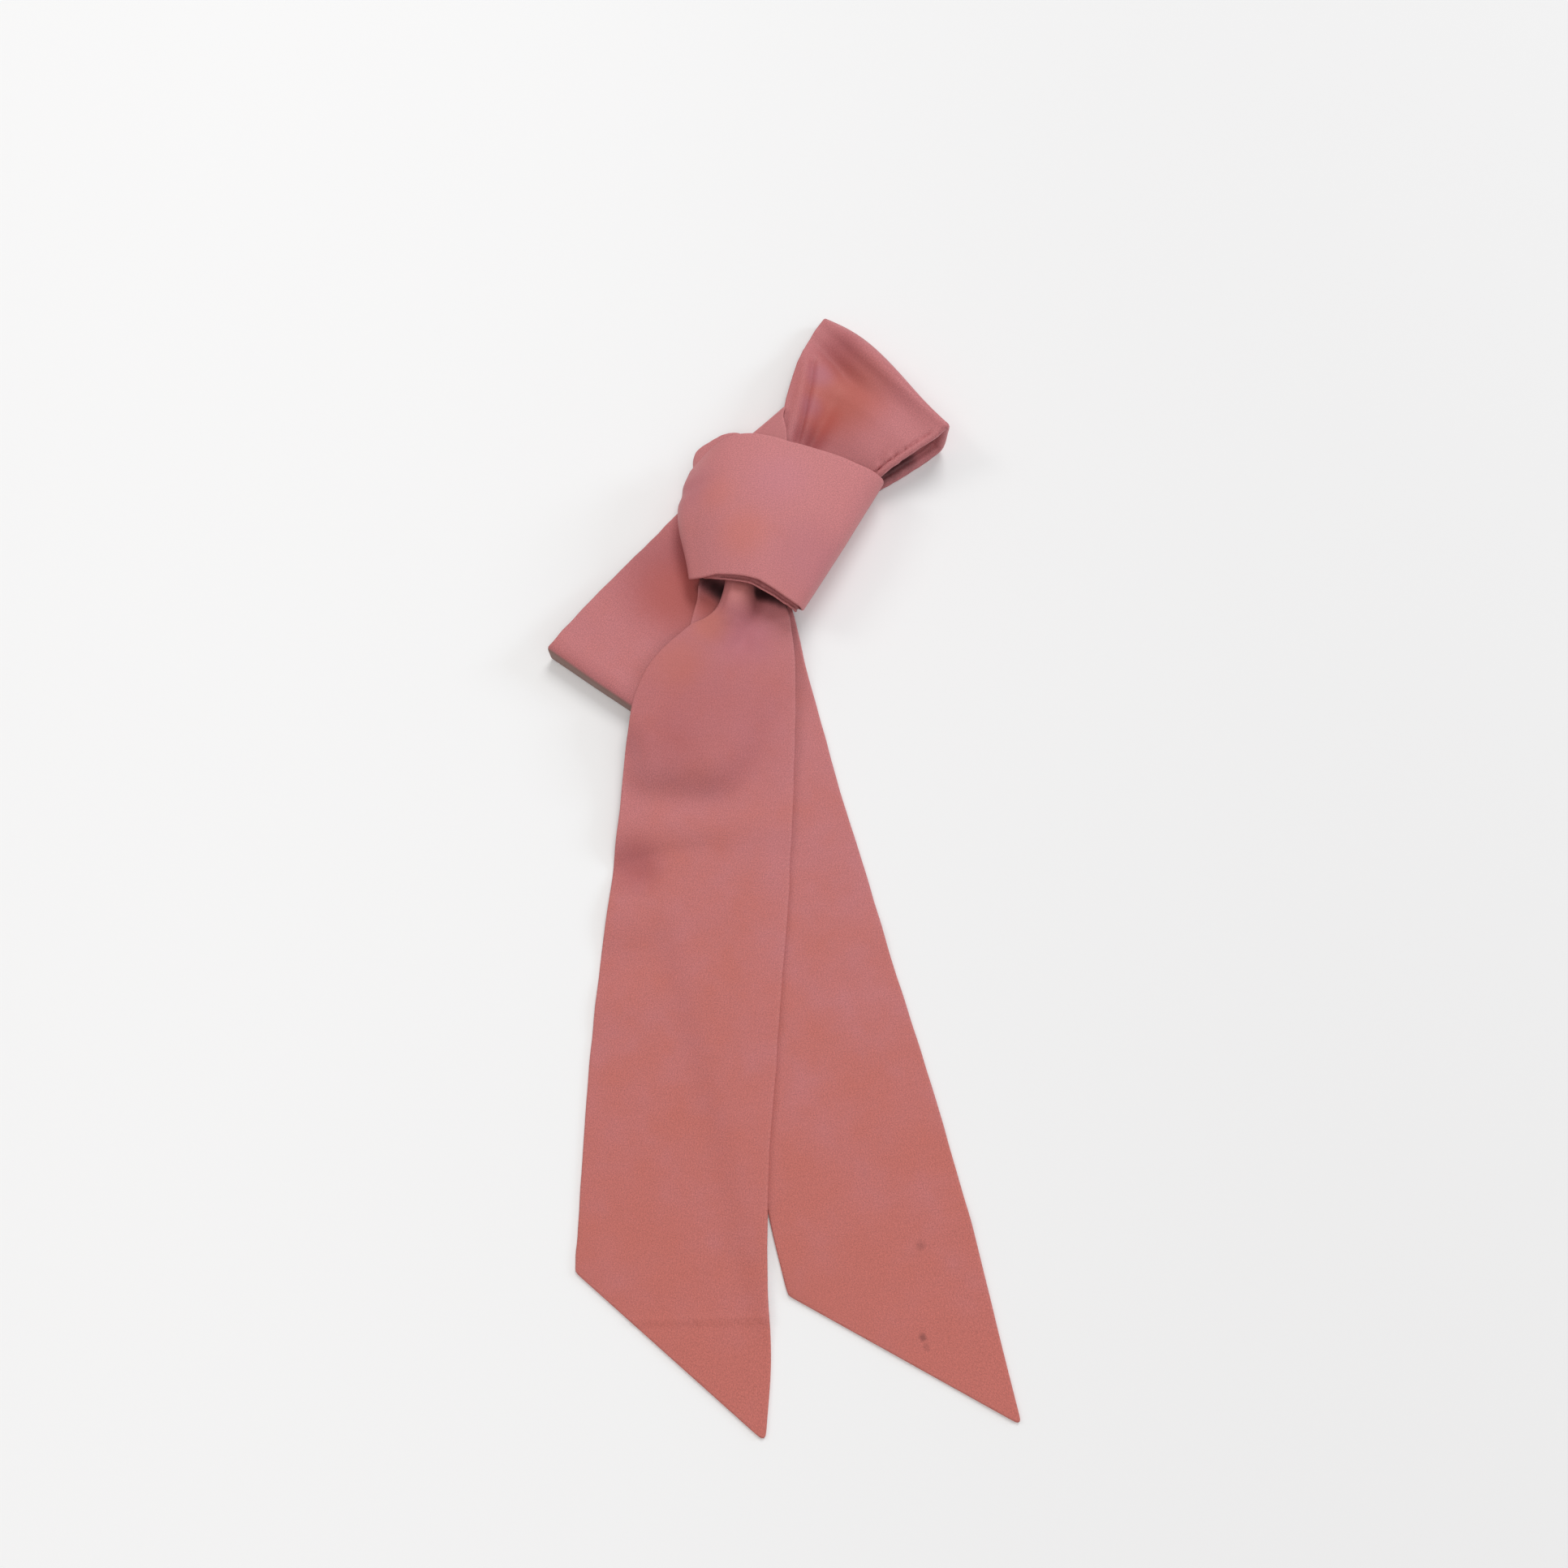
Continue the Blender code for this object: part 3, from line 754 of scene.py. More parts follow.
@dataclass(frozen=True)
class ThreadFinish:
    """The sewing thread: a slightly glossier, slightly deeper rose."""

    name: str = "rose_thread"
    colour: Colour = (0.44, 0.13, 0.13)
    light: Colour = (0.56, 0.20, 0.19)
    roughness: float = 0.55
    twist_mm: float = 0.04

    def build(self) -> bpy.types.Material:
        """Make the material, with the twist of the thread as its bump.

        Returns:
            The thread's material.
        """
        material = bpy.data.materials.new(self.name)
        material.use_nodes = True
        wire = Wiring(material.node_tree)
        shader = material.node_tree.nodes["Principled BSDF"]
        place = wire.put("ShaderNodeTexCoord").outputs["Object"]
        twist = wire.put("ShaderNodeTexWave", {"Vector": place, "Scale": 700.0, "Distortion": 2.0},
                         bands_direction="DIAGONAL")
        twisted = wire.put("ShaderNodeMix", {"Factor": twist.outputs["Fac"], "A": (*self.colour, 1.0),
                                             "B": (*self.light, 1.0)}, data_type="RGBA")
        wire.link(twisted.outputs["Result"], shader, "Base Color")
        bump = wire.put("ShaderNodeBump", {"Height": twist.outputs["Fac"], "Distance": self.twist_mm * MM})
        wire.link(bump.outputs["Normal"], shader, "Normal")
        shader.inputs["Roughness"].default_value = self.roughness
        return material


# Stretches of the strip


@dataclass
class Stretch:
    """One stretch of the folded strip: a flat tube of two plies with rolled seam edges.

    The cloth beyond edge a may be tucked under, by so many millimetres and so deep. The surface is the
    one between the two plies, on a grid of rows along the strip and columns across it.
    """

    name: str
    node: str
    sections: list[Section]
    creases: tuple[Crease, ...] = ()
    held: Held = Held.LAID
    ends: tuple[End, End] = (End.OPEN, End.OPEN)
    rests_on: tuple[str, ...] = ()
    tuck: float = 0.0
    tuck_depth: float = 1.75
    waviness: float = 0.12
    unevenness: float = 0.0
    seed: int = 1
    corner: float = 1.3
    corner_rows: int = 26
    corner_columns: int = 30
    along: float = 1.7
    spacing: float = 1.7
    hems: tuple[Hem, ...] = ()
    # Where along the stretch the upright sides of its folds get painted shade, and how strongly
    side_shade_first: float = 0.0
    side_shade_last: float = 0.0
    side_shade_strength: float = 0.0
    side_shade_fade: float = 0.02
    upright: float = 0.62
    upright_fade: float = 0.25
    fewest_rows: int = 6
    fewest_columns: int = 8
    edge_columns: int = 5
    surface: np.ndarray = field(default=None, repr=False)
    _seam: np.ndarray = field(default=None, repr=False)
    _cloth: np.ndarray = field(default=None, repr=False)
    _share: np.ndarray = field(default=None, repr=False)

    def rows_along(self) -> tuple[np.ndarray, np.ndarray]:
        """The fine rows of the stretch.

        Returns:
            The rows, with the columns of a Section, and how far along each one is, from 0 to 1.
        """
        table = np.array(self.sections, dtype=float)
        steps = np.linalg.norm(np.diff(table[:, 0:3], axis=0), axis=1)
        steps = (steps + np.linalg.norm(np.diff(table[:, 3:6], axis=0), axis=1)) / 2
        knots = np.concatenate([[0.0], np.cumsum(steps)])
        length = knots[-1]
        first = TUBE.edge_steps[-1] if self.ends[0] is End.SEWN else 0.0
        last = length - (TUBE.edge_steps[-1] if self.ends[1] is End.SEWN else 0.0)
        places = list(np.linspace(first, last, max(int((last - first) / self.along), self.fewest_rows)))
        if self.ends[1] is End.SEWN:
            places += [length - step for step in reversed(TUBE.edge_steps[:-1])]
        places = np.array(places)
        return smooth_columns(table, knots, places), places / length

    def steps_across(self, table: np.ndarray) -> tuple[np.ndarray, np.ndarray]:
        """Where the columns are on each row.

        Args:
            table: the fine rows.

        Returns:
            The place across each row in millimetres, where a place below 0 is in the tuck, and each
            row's own length.
        """
        chord = np.linalg.norm(table[:, 3:6] - table[:, 0:3], axis=1)
        edge = np.array(TUBE.edge_steps)
        turn = math.pi * self.tuck_depth / 2 if self.tuck else 0.0
        start = -(self.tuck + turn)
        whole = chord - start
        inner = max(int((TUBE.width - 2 * edge[-1]) / self.spacing), self.fewest_columns)
        shares = np.linspace(0.0, 1.0, inner + 1)[1:-1]
        middle = edge[-1] + shares[None, :] * (whole - 2 * edge[-1])[:, None]
        left = np.repeat(edge[None, :], len(chord), axis=0)
        right = whole[:, None] - edge[::-1][None, :]
        return np.concatenate([left, middle, right], axis=1) + start, chord

    def shape(self) -> np.ndarray:
        """Work out the surface between the plies, its distance from the seams and its place on the strip.

        Returns:
            The surface.
        """
        table, share = self.rows_along()
        across, chord = self.steps_across(table)
        place = np.clip(across / chord[:, None], 0.0, 1.0)[..., None]
        first, last = self.wavy_edges(table, share, chord)
        flat = first * (1 - place) + last * place
        # Normals are taken on even columns of their own, as the close ones at the edges would upset them
        up = self.even_normals(first, last, self.edge_columns)[:, :1]
        normals = self.even_normals(first, last, across.shape[1])
        self._share = np.repeat(share[:, None], across.shape[1], axis=1)
        lift = self.arch(table, place[..., 0])
        for crease in self.creases:
            lift = lift + crease.height(flat[..., 0], flat[..., 1], self._share)
        for count, hem in enumerate(self.hems):
            lift = lift + hem.lift(across, self._share, self.seed + count)
        if self.unevenness:
            broad = gentle_waves(flat[..., 0], flat[..., 1], TUBE.broad_wave, self.seed + BROAD_SEED)
            lift = lift + self.unevenness * broad
        grid = flat + lift[..., None] * normals
        if self.tuck:
            grid = self.tucked(grid, across, table, up)
        grid[..., 2] = np.maximum(grid[..., 2], TUBE.height / 2)
        self.surface = grid
        self.measure(across, chord)
        return grid

    def wavy_edges(self, table: np.ndarray, share: np.ndarray,
                   chord: np.ndarray) -> tuple[np.ndarray, np.ndarray]:
        """The two seam edges, which wander a little.

        Args:
            table: the fine rows.
            share: how far along the stretch each row is, from 0 to 1.
            chord: each row's own length.

        Returns:
            Edge a and edge b, with one column each.
        """
        run = share[:, None] * WAVE_RUN
        wave = gentle_waves(run, np.zeros_like(run), TUBE.edge_a_wave, self.seed)
        sway = gentle_waves(run, np.ones_like(run), TUBE.edge_b_wave, self.seed + EDGE_B_SEED)
        side = (table[:, 3:6] - table[:, 0:3]) / chord[:, None]
        side[:, 2] = 0.0
        first = table[:, None, 0:3] - (side * wave * self.waviness)[:, None, :]
        last = table[:, None, 3:6] + (side * sway * self.waviness)[:, None, :]
        return first, last

    def even_normals(self, first: np.ndarray, last: np.ndarray, count: int) -> np.ndarray:
        """The outward directions on a flat grid of evenly spread columns between the two edges."""
        even = np.linspace(0.0, 1.0, count)[None, :, None]
        return grid_normals(first * (1 - even) + last * even)

    def arch(self, table: np.ndarray, place: np.ndarray) -> np.ndarray:
        """How far each row's crown lifts the cloth.

        Args:
            table: the fine rows.
            place: how far across the row each point is, from 0 to 1.

        Returns:
            The lift at each place, in millimetres.
        """
        skew = np.log(0.5) / np.log(table[:, 7])
        return table[:, 6, None] * np.sin(np.pi * place ** skew[:, None]) ** table[:, 8, None]

    def tucked(self, grid: np.ndarray, across: np.ndarray, table: np.ndarray, up: np.ndarray) -> np.ndarray:
        """Turn the cloth beyond edge a under itself.

        Args:
            grid: the middle surface, whose columns in the tuck are still on edge a.
            across: the place of each column, where a place below 0 is in the tuck.
            table: the fine rows.
            up: the outward direction at edge a of each row.

        Returns:
            The middle surface with its tuck.
        """
        side = table[:, 3:6] - table[:, 0:3]
        side = (side / np.linalg.norm(side, axis=1, keepdims=True))[:, None, :]
        depth = self.tuck_depth
        turn = math.pi * depth / 2
        angle = np.clip(-across / turn, 0.0, 1.0) * math.pi
        inward = np.clip(-across - turn, 0.0, None)
        over = -(depth / 2) * np.sin(angle) + inward
        down = -(depth / 2) * (1 - np.cos(angle))
        return grid + side * over[..., None] + up * down[..., None]

    def measure(self, across: np.ndarray, chord: np.ndarray) -> None:
        """Keep each point's distance from the nearest seam and its place on the flat strip.

        Args:
            across: the place of each column, where a place below 0 is in the tuck.
            chord: each row's own length.
        """
        start = across[:, :1]
        from_a = across - start
        from_b = chord[:, None] - across
        seam = np.minimum(from_a, from_b)
        for row, end in ((0, self.ends[0]), (-1, self.ends[1])):
            if end is End.SEWN:
                seam = np.minimum(seam, self.off_row(row))
        self._seam = seam
        edges = np.linalg.norm(np.diff(self.surface, axis=0), axis=2)
        lengths = np.concatenate([np.zeros((1, edges.shape[1])), np.cumsum(edges, axis=0)])
        wide = from_a / (chord[:, None] - start) * TUBE.width
        middle = lengths[:, lengths.shape[1] // 2]
        inset = len(TUBE.edge_steps)
        near, far = lengths[:, inset, None], lengths[:, -inset - 1, None]
        run = near * (1 - wide / TUBE.width) + far * wide / TUBE.width
        self._cloth = np.stack([(run + middle[:, None]) / 2, wide], axis=2)

    def off_row(self, row: int) -> np.ndarray:
        """The distance of every point from the straight line of one row.

        Args:
            row: the row's number.

        Returns:
            The distances, in millimetres.
        """
        start, end = self.surface[row, 0, :2], self.surface[row, -1, :2]
        run = (end - start) / np.linalg.norm(end - start)
        off = self.surface[..., :2] - start
        return np.abs(off[..., 0] * run[1] - off[..., 1] * run[0])

    def soften_corners(self) -> None:
        """Blunt the corners of a sewn end, as turned corners are, and most of all a pointed one."""
        for row, end in ((0, self.ends[0]), (-1, self.ends[1])):
            if end is not End.SEWN:
                continue
            for column in (0, -1):
                corner = self.surface[row, column].copy()
                inner = self.surface[row, self.corner_columns if column == 0 else -self.corner_columns - 2]
                back = self.surface[self.corner_rows if row == 0 else -self.corner_rows - 1, column]
                edge = (inner - corner) / np.linalg.norm(inner - corner)
                aim = edge + (back - corner) / np.linalg.norm(back - corner)
                aim = aim / np.linalg.norm(aim)
                blunt = self.corner * float(aim @ edge) ** 2
                inside = np.maximum((self.surface - corner) @ aim, 0.0)
                self.surface += ((inside ** 4 + blunt ** 4) ** 0.25 - inside)[..., None] * aim

    def plies(self) -> tuple[np.ndarray, np.ndarray]:
        """The outer surfaces of the two plies, which puff up a little and meet at the seams.

        Returns:
            The upper and the lower one.
        """
        rolled = 1 - np.clip(1 - self._seam / TUBE.roll, 0.0, 1.0) ** 2
        half = TUBE.height / 2 * np.sqrt(rolled)
        x, y = self.surface[..., 0], self.surface[..., 1]
        waves = gentle_waves(x, y, TUBE.puff_wave, self.seed + PUFF_SEED)
        half = half * np.clip(1 + TUBE.puff * waves, *TUBE.puff_limits)
        normals = grid_normals(self.surface)
        return self.surface + normals * half[..., None], self.surface - normals * half[..., None]

    def mesh(self) -> bpy.types.Mesh:
        """The tube as one mesh, with its cloth coordinates and what its material reads.

        Returns:
            The closed mesh of both plies, or one that is open at its open ends.
        """
        upper, lower = self.plies()
        lower[..., 2] = np.maximum(lower[..., 2], 0.0)
        upper[..., 2] = np.maximum(upper[..., 2], 0.0)
        rows, columns = upper.shape[0], upper.shape[1]
        top = np.arange(rows * columns).reshape(rows, columns)
        shared = np.zeros((rows, columns), bool)
        shared[:, 0] = shared[:, -1] = True
        if self.ends[0] is End.SEWN:
            shared[0] = True
        if self.ends[1] is End.SEWN:
            shared[-1] = True
        low = top.copy()
        low[~shared] = rows * columns + np.arange((~shared).sum())
        points = np.concatenate([upper.reshape(-1, 3), lower[~shared]])
        middle = (upper + lower)[shared] / 2
        points[top[shared]] = middle
        points = (points - CENTRE) * MM

        over = np.stack([top[:-1, :-1], top[1:, :-1], top[1:, 1:], top[:-1, 1:]], axis=2).reshape(-1, 4)
        under = np.stack([low[:-1, :-1], low[:-1, 1:], low[1:, 1:], low[1:, :-1]], axis=2).reshape(-1, 4)
        cloth = self._cloth * MM
        back = np.stack([cloth[..., 0], 2 * TUBE.width * MM - cloth[..., 1]], axis=2)
        corners = [(0, 0), (1, 0), (1, 1), (0, 1)]
        turned = [(0, 0), (0, 1), (1, 1), (1, 0)]
        uv = [np.stack([sheet[i:rows - 1 + i, j:columns - 1 + j] for i, j in order], axis=2).reshape(-1, 2)
              for sheet, order in ((cloth, corners), (back, turned))]

        mesh = bpy.data.meshes.new(self.name)
        mesh.from_pydata(points.tolist(), [], np.concatenate([over, under]).tolist())
        mesh.shade_smooth()
        layer = mesh.uv_layers.new(name="cloth")
        layer.data.foreach_set("uv", np.concatenate(uv).astype(np.float32).ravel())
        seam = np.concatenate([self._seam.ravel(), self._seam[~shared]])
        self.paint(mesh, "seam_mm", seam)
        # Painted shade on the upright sides of folds, for the material
        side_shade = self.side_shading()
        self.paint(mesh, "side_shade", np.concatenate([side_shade.ravel(), side_shade[~shared]]))
        return mesh

    def paint(self, mesh: bpy.types.Mesh, name: str, values: np.ndarray) -> None:
        """Keep one number for each point of a mesh, for its material."""
        attribute = mesh.attributes.new(name, "FLOAT", "POINT")
        attribute.data.foreach_set("value", values.astype(np.float32))

    def side_shading(self) -> np.ndarray:
        """How much painted shade each point gets, on the upright side of a fold that stands on the table.

        Returns:
            The share of the painted shade's colour at each point.
        """
        upright = ramp(self.upright - grid_normals(self.surface)[..., 2], self.upright_fade)
        begun = ramp(self._share - self.side_shade_first, self.side_shade_fade)
        left = ramp(self.side_shade_last - self._share, self.side_shade_fade)
        return self.side_shade_strength * upright * (begun * left)

    def flat_size(self) -> tuple[float, float, float]:
        """The cut of this stretch, all round the tube.

        Returns:
            Its width and length and the area of cloth in it, in metres and square metres.
        """
        run = self._cloth[..., 0]
        length = float(np.max(run) - np.min(run)) * MM
        rows = np.linalg.norm(np.diff(self.surface, axis=1), axis=2).sum(axis=1)
        width = 2 * float(np.max(rows)) * MM
        steps = np.linalg.norm(np.diff(self.surface, axis=0), axis=2).mean(axis=1)
        area = 2 * float(np.sum((rows[:-1] + rows[1:]) / 2 * steps)) * MM * MM
        return width, length, area

    def build(self, finish: bpy.types.Material) -> bpy.types.Object:
        """Make the piece, hang it on the root and hide the CAD part that it replaces.

        Args:
            finish: the material that it wears.

        Returns:
            The finished piece.
        """
        piece = bpy.data.objects.new(self.name, self.mesh())
        bpy.context.scene.collection.objects.link(piece)
        wall = piece.modifiers.new("Ply", "SOLIDIFY")
        wall.thickness = TUBE.ply * MM
        wall.offset = -1.0
        piece.data.materials.append(finish)
        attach(piece, "root")
        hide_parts(self.node)
        width, length, area = self.flat_size()
        LOG.info("%s: %.0f x %.0f mm all round, %d faces", self.name, width / MM, length / MM,
                 len(piece.data.polygons))
        return piece


@dataclass
class LaidStretch(Stretch):
    """A stretch that rests on the table and on what lies there already.

    Its slack is how loosely it lies, in millimetres, and less so near its seams. Its fine creases are
    sharper than the rest, as they aren't evened out.
    """

    table_top: TableTop = field(default_factory=TableTop)
    settle: int = 14
    slack: float = 0.35
    edge_slack: float = 0.35
    edge_reach: float = 14.0
    last_evening: int = 3
    fine_creases: tuple[Crease, ...] = ()

    def shape(self) -> np.ndarray:
        """Work out the surface between the plies as the cloth comes to rest.

        Returns:
            The surface.
        """
        creases, self.creases = self.creases, ()
        grid = super().shape()
        self.creases = creases
        x, y = grid[..., 0], grid[..., 1]
        resting = self.table_top.under(x, y) + TUBE.height / 2
        lift = blurred(np.maximum(grid[..., 2] - resting, 0.0), self.settle)
        waves = gentle_waves(x, y, TUBE.resting_wave, self.seed + RESTING_SEED)
        rise = self.slack * (1 + waves) * 0.5
        for crease in creases:
            rise = rise + crease.height(x, y, self._share)
        flatter = self.edge_slack + (1 - self.edge_slack) * ramp(self._seam, self.edge_reach)
        rise = np.where(rise < self.slack, rise * flatter, rise)
        grid[..., 2] = resting + blurred(np.maximum(lift + rise, 0.0), self.last_evening)
        for crease in self.fine_creases:
            grid[..., 2] += crease.height(x, y, self._share)
        self.soften_corners()
        return self.surface


class CoreRow(NamedTuple):
    """One row across the hidden layers: a place on either side, and how low and how high they are."""

    ax: float
    ay: float
    bx: float
    by: float
    low: float
    high: float


@dataclass
class KnotCore:
    """The hidden layers inside the knot: one rounded bundle, layered at its edges."""

    name: str = "knot_hidden_layers"
    node: str = "knot_core"
    finish: CrepeFinish = CrepeFinish("rose_crepe")
    layers: int = 5
    groove: float = 1.1
    groove_fullness: float = 0.7
    squareness: float = 2.8
    rows: int = 56
    around: int = 112
    cloth_shift: float = 0.3
    far_from_seams: float = 20.0
    sections: tuple[CoreRow, ...] = (
        CoreRow(-19.5, 121.0, -20.5, 141.0, 6.0, 11.0),
        CoreRow(-18.0, 115.5, -19.0, 146.0, 3.6, 15.5),
        CoreRow(-12.0, 113.2, -12.0, 148.5, 3.2, 18.0),
        CoreRow(0.0, 113.0, 3.0, 146.0, 3.2, 18.6),
        CoreRow(9.0, 109.0, 17.0, 140.0, 3.2, 16.0),
        CoreRow(14.5, 111.0, 25.0, 134.0, 3.4, 11.5),
        CoreRow(18.0, 116.0, 26.0, 130.0, 4.6, 8.6),
    )

    def points(self) -> np.ndarray:
        """The bundle's surface, grooved at its sides.

        Returns:
            One ring of places for each row, in millimetres.
        """
        table = np.array(self.sections)
        knots = np.concatenate([[0.0], np.cumsum(np.linalg.norm(np.diff(table, axis=0), axis=1))])
        table = smooth_columns(table, knots, np.linspace(0.0, knots[-1], self.rows))
        angles = np.linspace(0.0, 2 * np.pi, self.around, endpoint=False)
        power = 2.0 / self.squareness
        side = np.sign(np.cos(angles)) * np.abs(np.cos(angles)) ** power
        rise = np.sign(np.sin(angles)) * np.abs(np.sin(angles)) ** power
        groove = (0.5 - 0.5 * np.cos(np.pi * self.layers * (rise + 1))) ** self.groove_fullness
        rings = []
        for ax, ay, bx, by, low, high in table:
            half = np.array([bx - ax, by - ay]) / 2
            share = side * (1 - groove * np.abs(side) * self.groove / np.linalg.norm(half))
            ring = np.array([ax + bx, ay + by]) / 2 + share[:, None] * half
            rings.append(np.column_stack([ring, (low + high) / 2 + rise * (high - low) / 2]))
        return np.array(rings)

    def mesh(self) -> bpy.types.Mesh:
        """The bundle as a closed mesh, with cloth coordinates and what its material reads.

        Returns:
            The mesh.
        """
        faces = []
        for ring in range(self.rows - 1):
            start = ring * self.around
            for corner in range(self.around):
                here, following = start + corner, start + (corner + 1) % self.around
                faces.append((here, following, following + self.around, here + self.around))
        faces.append(tuple(reversed(range(self.around))))
        faces.append(tuple((self.rows - 1) * self.around + corner for corner in range(self.around)))
        mesh = bpy.data.meshes.new(self.name)
        mesh.from_pydata(((self.points().reshape(-1, 3) - CENTRE) * MM).tolist(), [], faces)
        mesh.shade_smooth()
        layer = mesh.uv_layers.new(name="cloth")
        for loop, corner in zip(layer.data, mesh.loops):
            co = mesh.vertices[corner.vertex_index].co
            loop.uv = (co.x + self.cloth_shift, co.y + co.z + self.cloth_shift)
        for name, value in (("seam_mm", self.far_from_seams), ("side_shade", 0.0)):
            attribute = mesh.attributes.new(name, "FLOAT", "POINT")
            attribute.data.foreach_set("value", np.full(len(mesh.vertices), value, np.float32))
        return mesh

    def build(self, groups: Groups) -> bpy.types.Object:
        """Make the bundle, hang it on the root and hide the CAD part that it replaces.

        Args:
            groups: the shared shader node groups by name.

        Returns:
            The finished piece.
        """
        piece = bpy.data.objects.new(self.name, self.mesh())
        bpy.context.scene.collection.objects.link(piece)
        piece.data.materials.append(self.finish.build(groups))
        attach(piece, "root")
        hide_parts(self.node)
        LOG.info("%s: %d faces", self.name, len(piece.data.polygons))
        return piece


# The scarf


@dataclass
class NeckRing:
    """The ring that goes round the neck, pressed flat: its two looped ends and its hidden back."""

    # The ring's marks are all painted light and shade: broad darker patches for the shade in the upper
    # loop's valley and on the lower loop beside the knot, orange patches for the warm shade in the valley
    # and beside the knot, purple ones for the cool light on the valley's left slope, and near-black spots in
    # the hollow under the knot and inside the upper loop's open side
    finish: CrepeFinish = CrepeFinish("rose_crepe_ring", marks=(
        painted_shade(32.0, 200.0, 10.0, 40.0, 0.22), painted_shade(33.5, 222.0, 8.0, 12.5, 0.34),
        painted_shade(39.0, 211.0, 11.0, 11.0, 0.18), painted_shade(33.0, 192.0, 10.0, 15.0, 0.16),
        painted_shade(20.5, 178.0, 8.0, 9.0, 0.40), painted_shade(-42.0, 108.0, 7.0, 34.0, 0.40),
        patch(34.0, 197.0, 11.0, 25.0, 0.5, (0.52, 0.115, 0.062)),
        patch(25.0, 186.0, 9.0, 10.0, 0.45, (0.46, 0.070, 0.045)),
        patch(-39.0, 101.0, 8.0, 23.0, 0.42, (0.50, 0.085, 0.050)),
        patch(23.5, 209.0, 9.0, 8.0, 0.5, (0.42, 0.14, 0.20)),
        patch(18.5, 193.0, 9.0, 7.0, 0.45, (0.42, 0.14, 0.20)),
        painted_fold_shade(-29.5, 105.5, 5.0, 3.5, 0.5), painted_fold_shade(47.0, 160.0, 3.0, 8.0, 0.8),
        painted_fold_shade(54.0, 165.0, 3.5, 8.0, 0.8), painted_fold_shade(61.0, 170.0, 4.0, 8.0, 0.8)))
    roundness: float = 0.40
    lower_top: tuple[Section, ...] = (
        Section(-27.0, 156.0, 2.1, 5.0, 106.0, 2.1),
        Section(-34.0, 149.0, 2.2, -2.0, 96.0, 2.2),
        Section(-41.4, 142.0, 2.6, -8.0, 82.0, 2.4),
        Section(-50.2, 130.8, 4.6, -14.0, 70.0, 4.2, 0.4),
        Section(-67.0, 110.2, 8.0, -24.0, 53.0, 5.4, 0.8),
        Section(-88.0, 84.6, 10.2, -31.0, 42.2, 7.4, 0.8),
    )
    lower_fold: tuple[Section, Section, Section] = (
        Section(-94.2, 76.6, 10.2, -35.6, 35.8, 8.0, 0.6),
        Section(-95.6, 74.2, 4.6, -37.2, 32.8, 4.0),
        Section(-93.4, 75.0, 0.6, -35.6, 34.4, 0.6),
    )
    lower_under: tuple[Section, ...] = (
        Section(-74.0, 99.5, 0.6, -26.0, 52.0, 0.6),
        Section(-46.0, 131.0, 0.6, -14.0, 74.0, 0.6),
    )
    back_middle: tuple[Section, ...] = (
        Section(-24.0, 155.0, 0.6, 12.0, 104.0, 0.6),
        Section(-7.0, 171.0, 0.6, 31.0, 130.0, 0.6),
    )
    upper_top: tuple[Section, ...] = (
        Section(35.0, 145.5, 7.0, 6.5, 166.0, 12.0, 1.0),
        Section(44.0, 153.0, 9.5, 5.6, 178.0, 12.6, 1.2),
        Section(54.0, 160.3, 14.2, 7.6, 194.0, 11.8, 1.0),
        Section(62.9, 166.1, 17.0, 13.6, 217.0, 9.4, 0.6),
    )
    upper_fold: tuple[Section, Section, Section] = (
        Section(77.6, 176.0, 20.0, 23.4, 238.6, 4.9, 1.5, 0.60),
        Section(80.2, 177.6, 12.0, 25.6, 241.6, 2.7, 4.0, 0.62),
        Section(76.6, 174.6, 0.6, 22.4, 236.8, 0.6),
    )
    upper_under: tuple[Section, ...] = (
        Section(62.0, 163.6, 0.6, 13.5, 214.0, 0.6),
        Section(46.0, 153.4, 0.6, 7.0, 182.0, 0.6),
    )
    upper_creases: tuple[Crease, ...] = (
        Crease(28.0, 229.0, 35.5, 219.0, -2.8, -2.6, 7.5, 0.0, 0.47),
        Crease(38.0, 210.0, 20.8, 176.0, -2.8, -6.0, 12.5, 0.0, 0.47),
        Crease(28.0, 194.0, 17.0, 172.0, -1.4, -3.6, 4.6, 0.0, 0.47),
        Crease(20.6, 216.0, 12.8, 176.0, -1.6, -2.2, 1.6, -1.0, 0.47),
        Crease(23.5, 205.0, 15.0, 172.0, 0.3, 1.0, 2.0, -0.6, 0.47),
        Crease(16.6, 214.0, 9.2, 176.0, 0.9, 1.8, 2.8, -1.0, 0.47),
        Crease(58.0, 190.0, 42.0, 162.0, 0.8, 1.2, 9.0, 0.0, 0.47),
        Crease(54.5, 172.0, 50.5, 163.0, -0.2, -0.9, 1.6, 0.0, 0.47),
        Crease(59.5, 173.0, 56.0, 166.0, -0.1, -0.6, 1.4, 0.0, 0.47),
    )
    upper_hems: tuple[Hem, ...] = (
        Hem(1.9, 0.62, -2.1, 0.0, 0.47),
        Hem(-4.0, 0.75, -0.9, 0.56, 0.95),
        Hem(-6.2, 0.75, -1.3, 0.58, 0.95),
        Hem(-8.6, 0.85, -1.5, 0.60, 0.95),
    )
    lower_creases: tuple[Crease, ...] = (
        Crease(-46.0, 124.0, -32.0, 104.0, -0.2, -0.5, 7.0, 0.0, 0.5),
        Crease(-70.0, 92.0, -52.0, 80.0, 0.5, 0.3, 14.0, 0.0, 0.5),
    )

